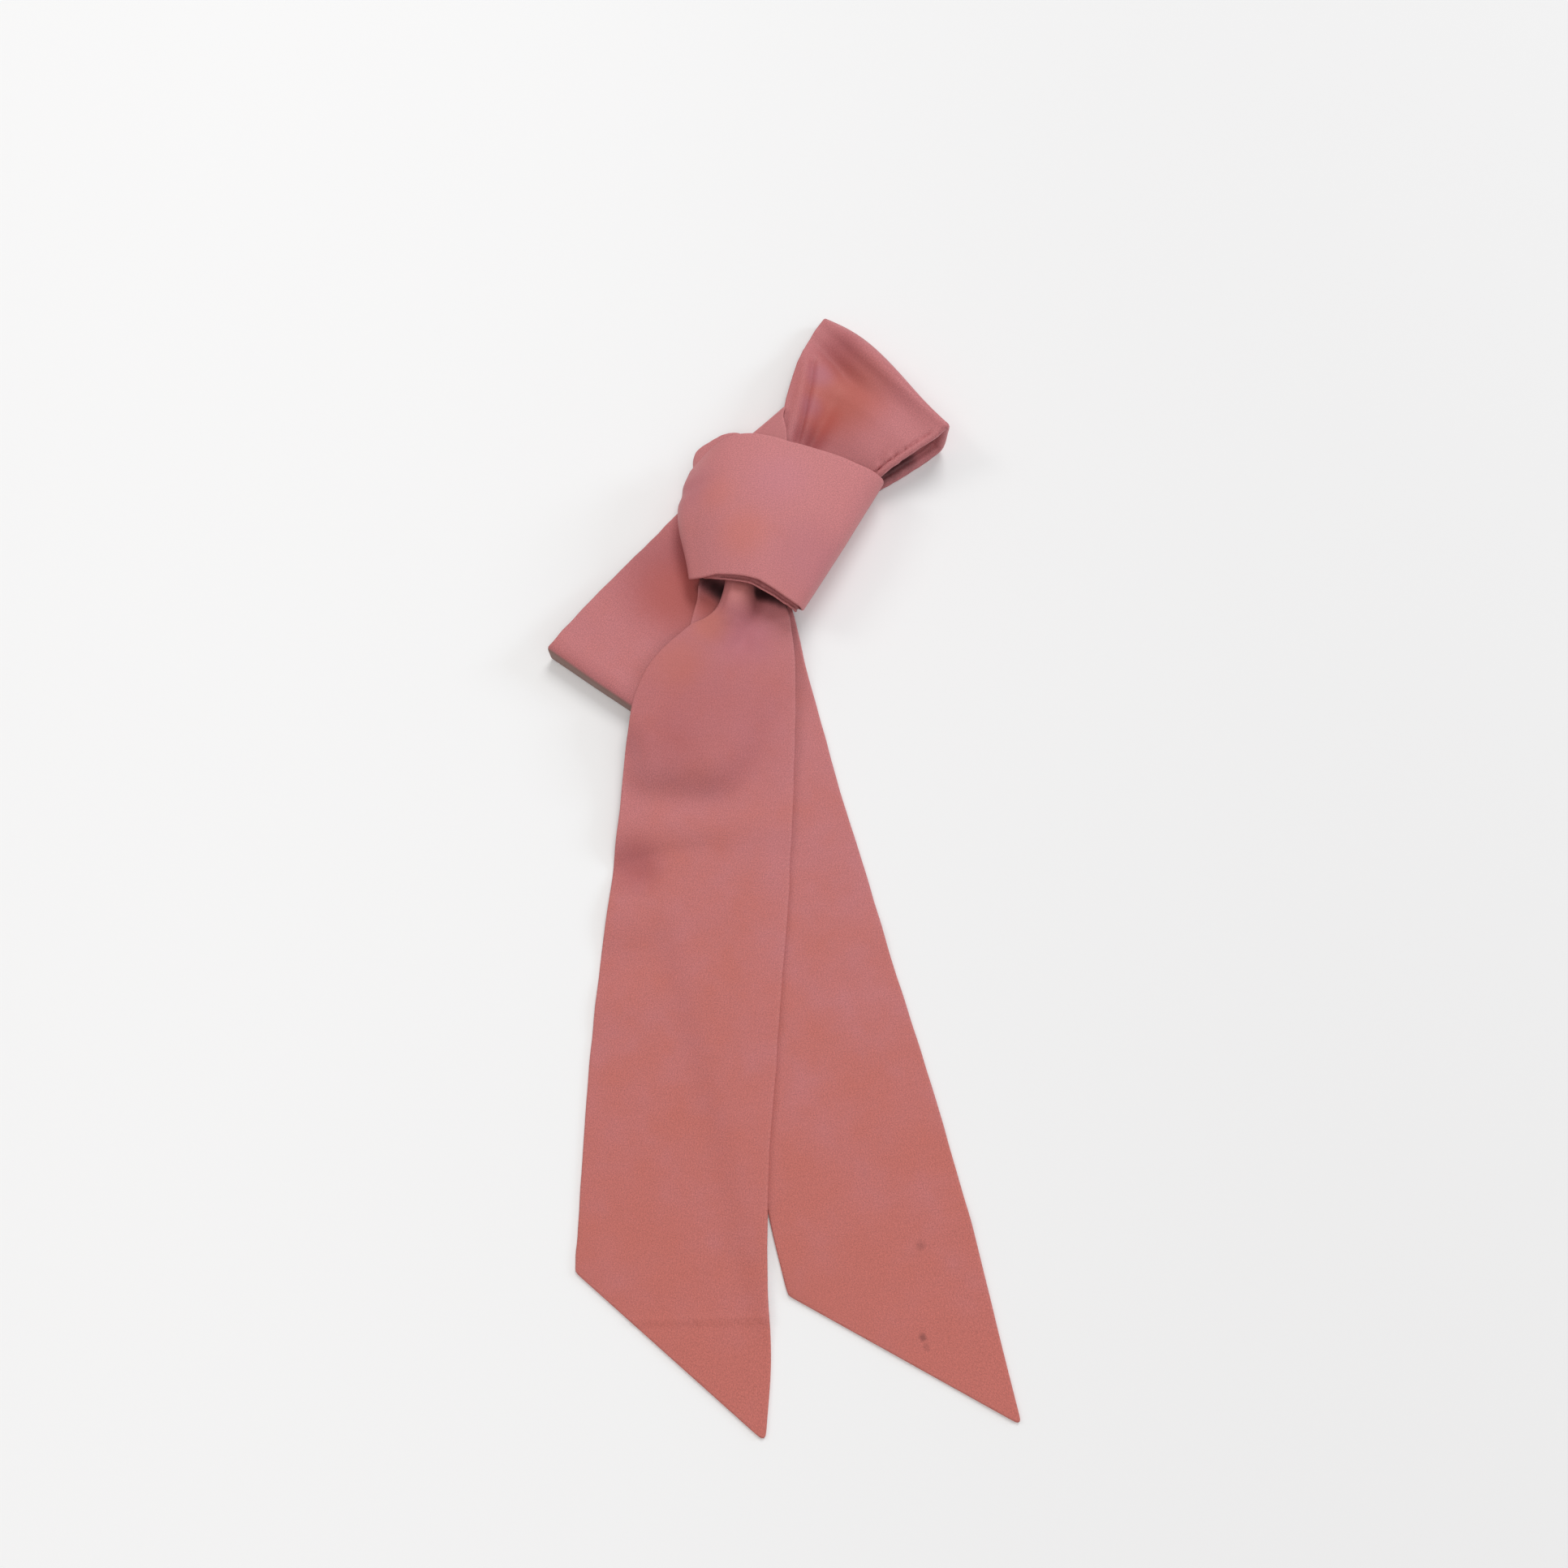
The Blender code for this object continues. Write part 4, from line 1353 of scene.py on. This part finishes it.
    def stretches(self) -> dict[str, Stretch]:
        """The ring's three stretches, by the name of the CAD node that each replaces.

        Returns:
            The stretches, of which the first two lie on the table.
        """
        lower = [*self.lower_top, *half_turn(*self.lower_fold, self.roundness), *self.lower_under]
        upper = [*self.upper_top, *half_turn(*self.upper_fold, self.roundness), *self.upper_under]
        start = moved_towards(self.lower_under[-1], self.back_middle[0], TUBE.seam_gap)
        last = self.upper_under[-1]
        turned = Section(*last[3:6], *last[0:3])
        end = moved_towards(turned, self.back_middle[-1], TUBE.seam_gap)
        return {
            "ring_back": Stretch("neck_ring_back", "ring_back", [start, *self.back_middle, end], seed=11),
            # The upright side of the lower loop's fold gets painted shade in grey brown
            "lower_loop": Stretch("neck_ring_lower_loop", "lower_loop", lower, self.lower_creases,
                                  Held.FOLDED, seed=21, unevenness=0.12, along=1.0, side_shade_first=0.5,
                                  side_shade_last=0.74, side_shade_strength=0.9),
            "upper_loop": Stretch("neck_ring_upper_loop", "upper_loop", upper, self.upper_creases,
                                  Held.FOLDED, seed=31, unevenness=0.12, tuck=7.0, along=1.3, spacing=0.75,
                                  hems=self.upper_hems),
        }

    def build(self, table_top: TableTop, groups: Groups) -> None:
        """Make the ring, and lay its two lower stretches on the table.

        Args:
            table_top: what lies on the table, which they are added to.
            groups: the shared shader node groups by name.
        """
        finish = self.finish.build(groups)
        stretches = self.stretches()
        for node, stretch in stretches.items():
            stretch.shape()
            if node in ("ring_back", "lower_loop"):
                table_top.stamp(stretch.surface)
            stretch.build(finish)


@dataclass
class Tails:
    """The two slanted ends of the strip, laid on the table and on each other."""

    # The front tail's marks: the lighter patch is a painted highlight on the gathered neck's crest; the
    # broad darker patches are painted shade, for the knot's shadow and the slopes that face away from the
    # light; the near-black spots are painted shade under the knot's front turn and in the hollow beside the
    # neck; the orange and purple patches are changes of the dye
    front_finish: CrepeFinish = CrepeFinish("rose_crepe_front", marks=(
        patch(-12.5, 98.5, 16.0, 9.5, 0.5, (0.68, 0.25, 0.23)),
        patch(-10.0, 80.0, 11.0, 16.0, 0.35, (0.50, 0.17, 0.25), 0.3),
        patch(-25.0, 84.0, 13.0, 11.0, 0.40, (0.60, 0.165, 0.09), 0.3),
        patch(-38.0, 66.0, 12.0, 15.0, 0.35, (0.60, 0.165, 0.10), 0.3),
        painted_shade(-25.0, 50.0, 9.0, 46.0, 0.22), painted_shade(-56.0, -21.0, 3.0, 15.0, 0.32),
        painted_shade(-42.0, 31.0, 8.0, 17.0, 0.15),
        painted_fold_shade(-4.0, 100.8, 9.5, 4.8, 0.92), painted_fold_shade(-0.8, 99.4, 9.3, 4.8, 0.92),
        painted_fold_shade(2.6, 97.8, 9.0, 4.4, 0.92), painted_fold_shade(6.0, 96.0, 8.8, 3.8, 0.9),
        painted_fold_shade(9.2, 94.2, 8.6, 3.0, 0.85), painted_fold_shade(-22.5, 101.5, 9.0, 4.5, 0.75)))
    # The back tail's small marks are stains; its orange patch and near-black spots are painted shade in the
    # hollow under the knot
    back_finish: CrepeFinish = CrepeFinish("rose_crepe_stained_and_shaded", marks=(
        Mark(60.8, -175.4, 1.2, 2.4, 0.26), Mark(60.9, -209.6, 1.2, 2.0, 0.52),
        Mark(62.2, -213.2, 1.2, 1.9, 0.24), Mark(39.5, -147.6, 1.2, 2.6, 0.07),
        patch(-27.0, 94.0, 6.0, 10.0, 0.6, (0.46, 0.080, 0.055)),
        painted_fold_shade(-28.2, 106.9, 5.0, 6.2, 0.97), painted_fold_shade(-23.7, 104.1, 6.0, 6.2, 0.97),
        painted_fold_shade(-19.6, 101.5, 7.0, 6.2, 0.97)))
    front: tuple[Section, ...] = (
        Section(-17.5, 112.4, 9.4, 2.0, 112.4, 6.2),
        Section(-18.4, 106.5, 9.6, 4.0, 105.5, 6.8),
        Section(-19.2, 101.5, 9.9, 5.6, 100.4, 8.8, 0.6),
        Section(-20.4, 97.2, 10.2, 7.6, 95.8, 9.8, 1.2, 0.3, 1.5),
        Section(-22.0, 93.2, 10.2, 9.0, 91.2, 9.2, 2.6, 0.3, 1.8),
        Section(-24.6, 89.8, 10.0, 9.8, 87.6, 8.4, 3.6, 0.34, 1.7),
        Section(-28.4, 87.0, 9.9, 10.3, 84.0, 8.0, 3.8, 0.38, 1.6),
        Section(-33.0, 85.0, 9.9, 10.8, 80.4, 7.6, 3.6, 0.42, 1.5),
        Section(-37.8, 80.8, 9.8, 11.2, 76.8, 7.2, 3.2, 0.45, 1.5),
        Section(-46.4, 72.2, 9.6, 11.8, 69.5, 6.5, 2.0, 0.48, 1.2),
        Section(-52.6, 63.4, 9.4, 12.0, 62.5, 5.6, 1.2, 0.5, 1.1),
        Section(-56.8, 52.8, 9.6, 12.1, 54.0, 4.6, 0.8),
        Section(-60.0, 34.6, 9.2, 11.8, 38.0, 4.4, 0.4),
        Section(-61.4, 20.0, 7.0, 11.4, 22.0, 3.5),
        Section(-62.6, 5.0, 5.5, 10.9, 6.0, 3.0),
        Section(-64.0, -9.0, 5.0, 10.4, -6.0, 3.2),
        Section(-65.0, -19.5, 1.2, 9.8, -16.0, 1.6),
        Section(-65.8, -30.0, 1.7, 9.3, -31.0, 1.6),
        Section(-67.0, -42.0, 2.6, 8.5, -43.0, 1.8),
        Section(-68.8, -57.0, 0.8, 7.4, -58.0, 0.6),
        Section(-69.2, -61.6, 0.0, 7.0, -62.0, 0.0),
        Section(-72.6, -108.0, 0.0, 3.6, -109.0, 0.0),
        Section(-74.1, -150.0, 0.0, 0.8, -152.0, 0.0),
        Section(-74.8, -171.0, 0.0, 0.6, -190.0, 0.0),
        Section(-75.2, -181.0, 0.0, 1.9, -222.0, 0.0),
        Section(-75.1, -185.4, 0.0, 0.0, -247.8, 0.0),
    )
    back: tuple[Section, ...] = (
        Section(-29.4, 112.4, 4.0, 3.0, 112.4, 4.4),
        Section(-30.8, 104.0, 4.4, 7.6, 103.4, 4.4),
        Section(-31.2, 98.0, 6.6, 9.8, 97.0, 4.8, 0.4),
        Section(-32.4, 93.0, 7.0, 11.5, 91.8, 4.8, 0.4),
        Section(-35.0, 82.0, 0.0, 13.8, 81.5, 3.6),
        Section(-41.5, 65.0, 0.0, 17.2, 66.0, 2.0),
        Section(-47.0, 37.0, 0.0, 22.6, 46.0, 0.0),
        Section(-43.5, 1.0, 0.0, 30.0, 16.0, 0.0),
        Section(-33.0, -37.0, 0.0, 39.3, -16.0, 0.0),
        Section(-20.5, -81.0, 0.0, 51.5, -60.2, 0.0),
        Section(-7.2, -128.0, 0.0, 65.6, -108.0, 0.0),
        Section(2.0, -169.0, 0.0, 76.6, -148.5, 0.0),
        Section(6.0, -184.5, 0.0, 83.3, -175.0, 0.0),
        Section(7.6, -191.0, 0.0, 90.8, -209.0, 0.0),
        Section(8.7, -194.2, 0.0, 98.3, -241.8, 0.0),
    )
    front_creases: tuple[Crease, ...] = (
        Crease(-11.8, 114.0, -12.6, 99.5, 8.0, 6.4, 6.3, 0.0, 1.1, 6.0),
        Crease(-15.5, 92.0, -27.0, 80.0, 2.2, 0.6, 5.5),
        Crease(-4.8, 98.0, -14.0, 66.0, -2.4, -1.0, 3.6),
        Crease(-66.0, -23.0, -26.0, -15.5, -2.0, -0.6, 5.0, 0.5),
        Crease(-70.5, -63.0, -22.0, -52.0, -0.4, -0.3, 6.0),
        Crease(-71.0, -80.0, -26.0, -74.0, 0.5, 0.2, 9.0),
    )
    fold_line: tuple[Crease, ...] = (
        Crease(-51.0, -203.6, -25.9, -203.4, 0.45, 0.60, 1.0),
        Crease(-25.9, -203.4, 0.7, -202.3, 0.60, 0.80, 1.0),
        Crease(-51.0, -205.8, 0.7, -204.8, -0.15, -0.30, 1.1),
    )
    back_creases: tuple[Crease, ...] = (
        Crease(68.0, -172.0, 82.0, -166.0, 0.0, 0.4, 2.5),
        Crease(70.0, -186.0, 85.0, -181.0, 0.0, 0.35, 2.0),
        Crease(30.0, -60.0, 50.0, -52.0, 0.2, 0.4, 8.0),
        Crease(34.0, -204.5, 36.0, -198.0, -0.25, 0.0, 1.2),
    )

    def back_tail(self, table_top: TableTop) -> LaidStretch:
        """The short end, from under the knot to its slanted end at the right.

        Args:
            table_top: what it comes to lie on.

        Returns:
            The stretch, before it is shaped.
        """
        return LaidStretch("back_tail_end", "back_tail", list(self.back), self.back_creases, Held.LAID,
                           (End.OPEN, End.SEWN), ("lower_loop",), seed=41, corner=2.4,
                           table_top=table_top)

    def front_tail(self, table_top: TableTop) -> LaidStretch:
        """The long end, from its gathered neck in the knot to its slanted end.

        Args:
            table_top: what it comes to lie on.

        Returns:
            The stretch, before it is shaped.
        """
        return LaidStretch("front_tail_end", "front_tail", list(self.front), self.front_creases, Held.LAID,
                           (End.OPEN, End.SEWN), ("back_tail_end",), seed=51, corner=2.6, along=1.25,
                           spacing=1.25, table_top=table_top, fine_creases=self.fold_line)

    def build(self, table_top: TableTop, groups: Groups) -> None:
        """Lay the back tail down first, and the front tail over it.

        Args:
            table_top: what lies on the table, which the back tail is added to.
            groups: the shared shader node groups by name.
        """
        back = self.back_tail(table_top)
        table_top.stamp(back.shape())
        back.build(self.back_finish.build(groups))
        front = self.front_tail(table_top)
        front.shape()
        front.build(self.front_finish.build(groups))


@dataclass
class Knot:
    """The knot's turns: the inner one, the wide front one and the strand that rolls over its top."""

    # The knot's crepe is a lighter, cooler copy of the rest: painted light, for the brighter, cooler light
    # on the knot
    finish: CrepeFinish = CrepeFinish("rose_crepe_knot_painted_light", marks=(
        patch(-10.5, 121.5, 27.0, 14.0, 0.34, (0.60, 0.155, 0.100), 0.3),
        patch(-22.0, 141.0, 24.0, 11.0, 0.24, (0.60, 0.155, 0.100), 0.3),
        patch(-33.0, 147.0, 16.0, 14.0, 0.36, (0.41, 0.12, 0.16), 0.3),
        patch(5.0, 148.0, 28.0, 17.0, 0.24, (0.53, 0.19, 0.26), 0.3),
        patch(17.0, 112.0, 24.0, 19.0, 0.28, (0.46, 0.16, 0.21), 0.3)),
        warm=(0.555, 0.160, 0.140), cool=(0.568, 0.190, 0.200))
    front: tuple[Section, ...] = (
        Section(-26.5, 110.5, 5.0, -26.0, 152.0, 4.2),
        Section(-32.6, 108.5, 7.6, -34.2, 155.0, 6.4, 2.5, 0.60),
        Section(-34.2, 105.6, 12.5, -35.4, 157.6, 10.0, 5.0, 0.60),
        Section(-28.9, 103.9, 17.8, -30.4, 162.3, 15.0, 5.0, 0.60),
        Section(-21.4, 103.5, 22.5, -22.0, 168.2, 20.6, 4.0, 0.55),
        Section(-8.0, 101.1, 25.2, -9.6, 171.4, 23.5, 3.0),
        Section(2.0, 96.4, 24.0, 13.0, 165.6, 24.8, 2.5),
        Section(9.0, 92.2, 21.6, 33.0, 159.2, 23.8, 2.2),
        Section(13.4, 90.3, 18.4, 46.6, 154.2, 20.2, 1.8),
        Section(14.9, 91.0, 13.0, 51.1, 153.4, 14.0, 0.6),
        Section(13.6, 94.6, 5.5, 49.0, 153.0, 5.6),
        Section(10.0, 98.0, 2.6, 44.0, 150.6, 2.6),
        Section(4.0, 101.5, 2.4, 37.5, 147.6, 2.4),
    )
    front_creases: tuple[Crease, ...] = (
        Crease(-41.0, 145.0, -24.0, 147.5, -1.2, -0.3, 3.2, 0.0, 0.6),
        Crease(-10.0, 150.0, 22.0, 128.0, 0.3, 0.4, 12.0, 0.0, 0.8),
        Crease(-30.0, 118.0, -12.0, 130.0, -0.3, -0.3, 9.0, 0.0, 0.6),
    )
    inner: tuple[Section, ...] = (
        Section(-27.0, 109.5, 9.0, -31.0, 159.0, 7.2, 0.8, 0.40),
        Section(-28.0, 106.6, 11.6, -33.6, 164.4, 9.0, 1.8, 0.40),
        Section(-25.6, 104.6, 15.6, -32.6, 169.0, 10.2, 2.5, 0.45),
        Section(-19.2, 102.7, 18.8, -26.0, 173.2, 12.8, 3.5),
        Section(-9.0, 100.2, 21.0, -16.0, 175.6, 16.4, 3.0),
        Section(-0.6, 96.3, 19.9, -2.0, 168.0, 19.6, 1.5),
        Section(5.6, 93.3, 17.0, 16.0, 155.0, 20.0, 1.5),
        Section(10.2, 91.4, 13.5, 32.0, 143.0, 16.5, 1.2),
        Section(11.9, 91.7, 9.0, 38.5, 139.0, 10.0, 0.5),
    )
    inner_hems: tuple[Hem, ...] = (
        Hem(1.3, 0.45, -0.9, 0.2, 1.1),
        Hem(3.4, 0.8, -0.8, 0.2, 1.1),
    )
    strand_fold: tuple[Section, Section, Section] = (
        Section(1.9, 183.0, 0.6, -14.0, 168.4, 0.6),
        Section(6.2, 190.4, 8.4, -17.0, 170.0, 7.6),
        Section(7.0, 187.6, 14.4, -14.6, 167.0, 12.4, 0.4),
    )
    strand_over: tuple[Section, ...] = (
        Section(8.2, 177.0, 15.0, -12.0, 160.0, 13.6, 0.6),
        Section(8.4, 166.0, 15.6, -10.0, 152.0, 14.4, 0.4),
    )

    def stretches(self) -> list[Stretch]:
        """The knot's turns, in the order in which they are made.

        Returns:
            The turns.
        """
        strand = [*half_turn(*self.strand_fold), *self.strand_over]
        return [
            Stretch("knot_inner_turn", "knot_inner_wrap", list(self.inner), (), Held.GATHERED, seed=61,
                    unevenness=0.08, along=1.0, spacing=1.2, hems=self.inner_hems),
            Stretch("knot_front_turn", "knot_front", list(self.front), self.front_creases, Held.GATHERED,
                    seed=71, unevenness=0.15),
            Stretch("knot_top_strand", "top_strand", strand, (), Held.FOLDED, seed=81),
        ]

    def build(self, groups: Groups) -> None:
        """Shape the turns and dress them.

        Args:
            groups: the shared shader node groups by name.
        """
        finish = self.finish.build(groups)
        for stretch in self.stretches():
            stretch.shape()
            stretch.build(finish)


@dataclass
class SlipStitches:
    """The hand stitches that close the gap through which the strip was turned."""

    name: str = "closing_stitches"
    finish: ThreadFinish = ThreadFinish()
    pitch: float = 3.4
    stitch: float = 1.5
    thread: float = 0.16
    slant: float = 0.16
    seed: int = 5
    first: tuple[float, float, float] = (-70.0, 104.0, 0.75)
    last: tuple[float, float, float] = (-50.0, 126.5, 0.75)

    def tree(self) -> bpy.types.GeometryNodeTree:
        """The Geometry Nodes tree that lays one stitch after another along a line.

        Returns:
            The tree, with named inputs for its sizes, its seed and its finish.
        """
        tree = bpy.data.node_groups.new("slip stitches", "GeometryNodeTree")
        face = tree.interface
        face.new_socket("Geometry", in_out="INPUT", socket_type="NodeSocketGeometry")
        for label, kind in (("Pitch", "NodeSocketFloat"), ("Stitch", "NodeSocketFloat"),
                            ("Thread", "NodeSocketFloat"), ("Seed", "NodeSocketInt"),
                            ("Finish", "NodeSocketMaterial")):
            face.new_socket(label, in_out="INPUT", socket_type=kind)
        face.new_socket("Geometry", in_out="OUTPUT", socket_type="NodeSocketGeometry")
        wire = Wiring(tree)
        given = wire.put("NodeGroupInput")
        result = wire.put("NodeGroupOutput")
        dots = wire.put("GeometryNodeResampleCurve", {"Curve": given.outputs["Geometry"],
                                                      "Length": given.outputs["Pitch"]}, mode="LENGTH")
        run = wire.put("GeometryNodeInputTangent")
        aim = wire.put("FunctionNodeAlignEulerToVector", {"Vector": run.outputs["Tangent"]}, axis="Z")
        slant = wire.put("FunctionNodeRandomValue", {"Min": (-self.slant,) * 3, "Max": (self.slant,) * 3,
                                                     "Seed": given.outputs["Seed"]},
                         data_type="FLOAT_VECTOR")
        turned = wire.put("ShaderNodeVectorMath", {0: aim.outputs["Rotation"], 1: slant.outputs["Value"]},
                          operation="ADD")
        bar = wire.put("GeometryNodeMeshUVSphere", {"Segments": 8, "Rings": 6,
                                                    "Radius": given.outputs["Thread"]})
        long = wire.sum("DIVIDE", given.outputs["Stitch"], given.outputs["Thread"])
        half = wire.sum("MULTIPLY", long, 0.5)
        size = wire.put("ShaderNodeCombineXYZ", {"X": 1.0, "Y": 1.0, "Z": half})
        laid = wire.put("GeometryNodeInstanceOnPoints", {
            "Points": dots.outputs["Curve"], "Instance": bar.outputs["Mesh"],
            "Rotation": turned.outputs["Vector"], "Scale": size.outputs["Vector"]})
        real = wire.put("GeometryNodeRealizeInstances", {"Geometry": laid.outputs["Instances"]})
        dressed = wire.put("GeometryNodeSetMaterial", {"Geometry": real.outputs["Geometry"],
                                                       "Material": given.outputs["Finish"]})
        smooth = wire.put("GeometryNodeSetShadeSmooth", {"Geometry": dressed.outputs["Geometry"]})
        wire.link(smooth.outputs["Geometry"], result, "Geometry")
        return tree

    def build(self) -> bpy.types.Object:
        """Make the stitches and hang them on the root.

        Returns:
            The finished piece, as a plain mesh.
        """
        finish = self.finish.build()
        line = bpy.data.curves.new(self.name, "CURVE")
        line.dimensions = "3D"
        spline = line.splines.new("POLY")
        spline.points.add(1)
        for point, place in zip(spline.points, (self.first, self.last)):
            point.co = (*((np.array(place) - CENTRE) * MM), 1.0)
        guide = bpy.data.objects.new(self.name + "_line", line)
        bpy.context.scene.collection.objects.link(guide)
        modifier = guide.modifiers.new("Stitches", "NODES")
        modifier.node_group = self.tree()
        values = {"Pitch": self.pitch * MM, "Stitch": self.stitch * MM, "Thread": self.thread * MM,
                  "Seed": self.seed, "Finish": finish}
        for item in modifier.node_group.interface.items_tree:
            if item.in_out == "INPUT" and item.name in values:
                modifier[item.identifier] = values[item.name]
        view = bpy.context.evaluated_depsgraph_get()
        view.update()
        mesh = bpy.data.meshes.new_from_object(guide.evaluated_get(view), preserve_all_data_layers=True,
                                               depsgraph=view)
        bpy.data.objects.remove(guide)
        # The spheres bring an empty material slot of their own
        if mesh.materials[0] is None:
            mesh.materials.pop(index=0)
        piece = bpy.data.objects.new(self.name, mesh)
        bpy.context.scene.collection.objects.link(piece)
        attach(piece, "root")
        LOG.info("%s: %d faces", self.name, len(mesh.polygons))
        return piece


class Lamp(NamedTuple):
    """A broad soft lamp: its name, place, size, power and colour."""

    name: str
    place: tuple[float, float, float]
    size: float
    power: float
    colour: Colour


@dataclass
class Studio:
    """The pale table, the soft light and the camera."""

    eye: tuple[float, float, float] = (7.0, -186.5, 661.0)
    tilt: float = 17.0
    sensor: float = 36.0
    focal_pixels: float = 1980.0
    picture_pixels: float = 1932.0
    nearest: float = 0.01
    lamps: tuple[Lamp, ...] = (
        Lamp("window", (0.9, 3.2, 3.6), 2.0, 86.0, (1.0, 0.99, 0.98)),
        Lamp("right_window", (4.2, 1.2, 1.6), 1.2, 47.0, (0.84, 0.92, 1.0)),
        Lamp("left_window", (-3.5, 1.5, 2.9), 1.4, 27.0, (1.0, 0.97, 0.93)),
        Lamp("room_light", (0.2, -1.9, 4.0), 1.4, 32.0, (1.0, 0.97, 0.95)),
    )
    sky: float = 0.375
    sky_colour: Colour = (1.0, 0.98, 0.95)
    overhead: float = 0.16
    table_half: float = 4.0
    table_level: float = -0.00005
    # The table is painted lighter on the left and darker on the right, for light that falls off to the right
    table_painted_light: Colour = (0.945, 0.955, 0.97)
    table_painted_shade: Colour = (0.865, 0.872, 0.885)
    table_fade: float = 0.3
    table_sway: float = 0.1
    table_roughness: float = 0.9
    table_gloss: float = 0.1

    def build(self) -> None:
        """Set everything up."""
        scene = bpy.context.scene
        scene.view_settings.view_transform = "Standard"
        self.table()
        self.light()
        camera = bpy.data.cameras.new("camera")
        camera.lens = self.sensor * self.focal_pixels / self.picture_pixels
        camera.sensor_width = self.sensor
        camera.clip_start = self.nearest
        holder = bpy.data.objects.new("camera", camera)
        holder.location = (np.array(self.eye) - CENTRE) * MM
        holder.rotation_euler = (math.radians(self.tilt), 0.0, 0.0)
        scene.collection.objects.link(holder)
        scene.camera = holder

    def table(self) -> None:
        """A wide pale table top, with painted light: lighter on the left, darker towards the right."""
        mesh = bpy.data.meshes.new("table_top")
        half, level = self.table_half, self.table_level
        corners = [(-half, -half, level), (half, -half, level), (half, half, level), (-half, half, level)]
        mesh.from_pydata(corners, [], [(0, 1, 2, 3)])
        table = bpy.data.objects.new("table_top", mesh)
        bpy.context.scene.collection.objects.link(table)
        material = bpy.data.materials.new("pale_table_painted_falloff")
        material.use_nodes = True
        wire = Wiring(material.node_tree)
        shader = material.node_tree.nodes["Principled BSDF"]
        place = wire.put("ShaderNodeTexCoord").outputs["Object"]
        soft = wire.put("ShaderNodeTexNoise", {"Vector": place, "Scale": 3.0, "Detail": 2.0})
        parts = wire.put("ShaderNodeSeparateXYZ", {"Vector": place})
        sway = wire.sum("MULTIPLY_ADD", soft.outputs["Fac"], self.table_sway, -self.table_sway / 2)
        across = wire.sum("ADD", parts.outputs["X"], sway)
        run = wire.put("ShaderNodeMapRange", {"Value": across, "From Min": -self.table_fade,
                                              "From Max": self.table_fade}, interpolation_type="SMOOTHSTEP")
        shade = wire.put("ShaderNodeMix", {"Factor": run.outputs["Result"], "A": (*self.table_painted_light, 1.0),
                                           "B": (*self.table_painted_shade, 1.0)}, data_type="RGBA")
        wire.link(shade.outputs["Result"], shader, "Base Color")
        shader.inputs["Roughness"].default_value = self.table_roughness
        shader.inputs["Specular IOR Level"].default_value = self.table_gloss
        mesh.materials.append(material)

    def light(self) -> None:
        """The broad lamps, and a pale surround that is brightest overhead."""
        for kind in self.lamps:
            lamp = bpy.data.lights.new(kind.name, "AREA")
            lamp.energy = kind.power
            lamp.size = kind.size
            lamp.color = kind.colour
            holder = bpy.data.objects.new(kind.name, lamp)
            holder.location = kind.place
            holder.rotation_euler = (-Vector(kind.place)).to_track_quat("-Z", "Y").to_euler()
            bpy.context.scene.collection.objects.link(holder)
        world = bpy.data.worlds.new("surround")
        world.use_nodes = True
        wire = Wiring(world.node_tree)
        background = world.node_tree.nodes["Background"]
        background.inputs["Color"].default_value = (*self.sky_colour, 1.0)
        looked_at = wire.put("ShaderNodeTexCoord").outputs["Generated"]
        aim = wire.put("ShaderNodeSeparateXYZ", {"Vector": looked_at})
        rise = wire.sum("POWER", wire.sum("MAXIMUM", aim.outputs["Z"], 0.0), 2.0)
        glow = wire.sum("MULTIPLY_ADD", rise, self.overhead, self.sky)
        wire.link(glow, background, "Strength")
        bpy.context.scene.world = world


@dataclass
class NeckScarf:
    """The whole scarf."""

    ring: NeckRing = field(default_factory=NeckRing)
    tails: Tails = field(default_factory=Tails)
    knot: Knot = field(default_factory=Knot)
    core: KnotCore = field(default_factory=KnotCore)
    stitches: SlipStitches = field(default_factory=SlipStitches)

    def build(self) -> None:
        """Build it from the table up."""
        groups = {maker.name: maker().build() for maker in (CrepeWeave, UnevenDye, SeamPucker, SoftMark)}
        table_top = TableTop()
        self.ring.build(table_top, groups)
        self.tails.build(table_top, groups)
        self.knot.build(groups)
        self.core.build(groups)
        self.stitches.build()


def main() -> None:
    """Build the scarf and the studio round it."""
    logging.basicConfig(level=logging.INFO, format="%(message)s")
    NeckScarf().build()
    Studio().build()


if __name__ == "__main__":
    main()
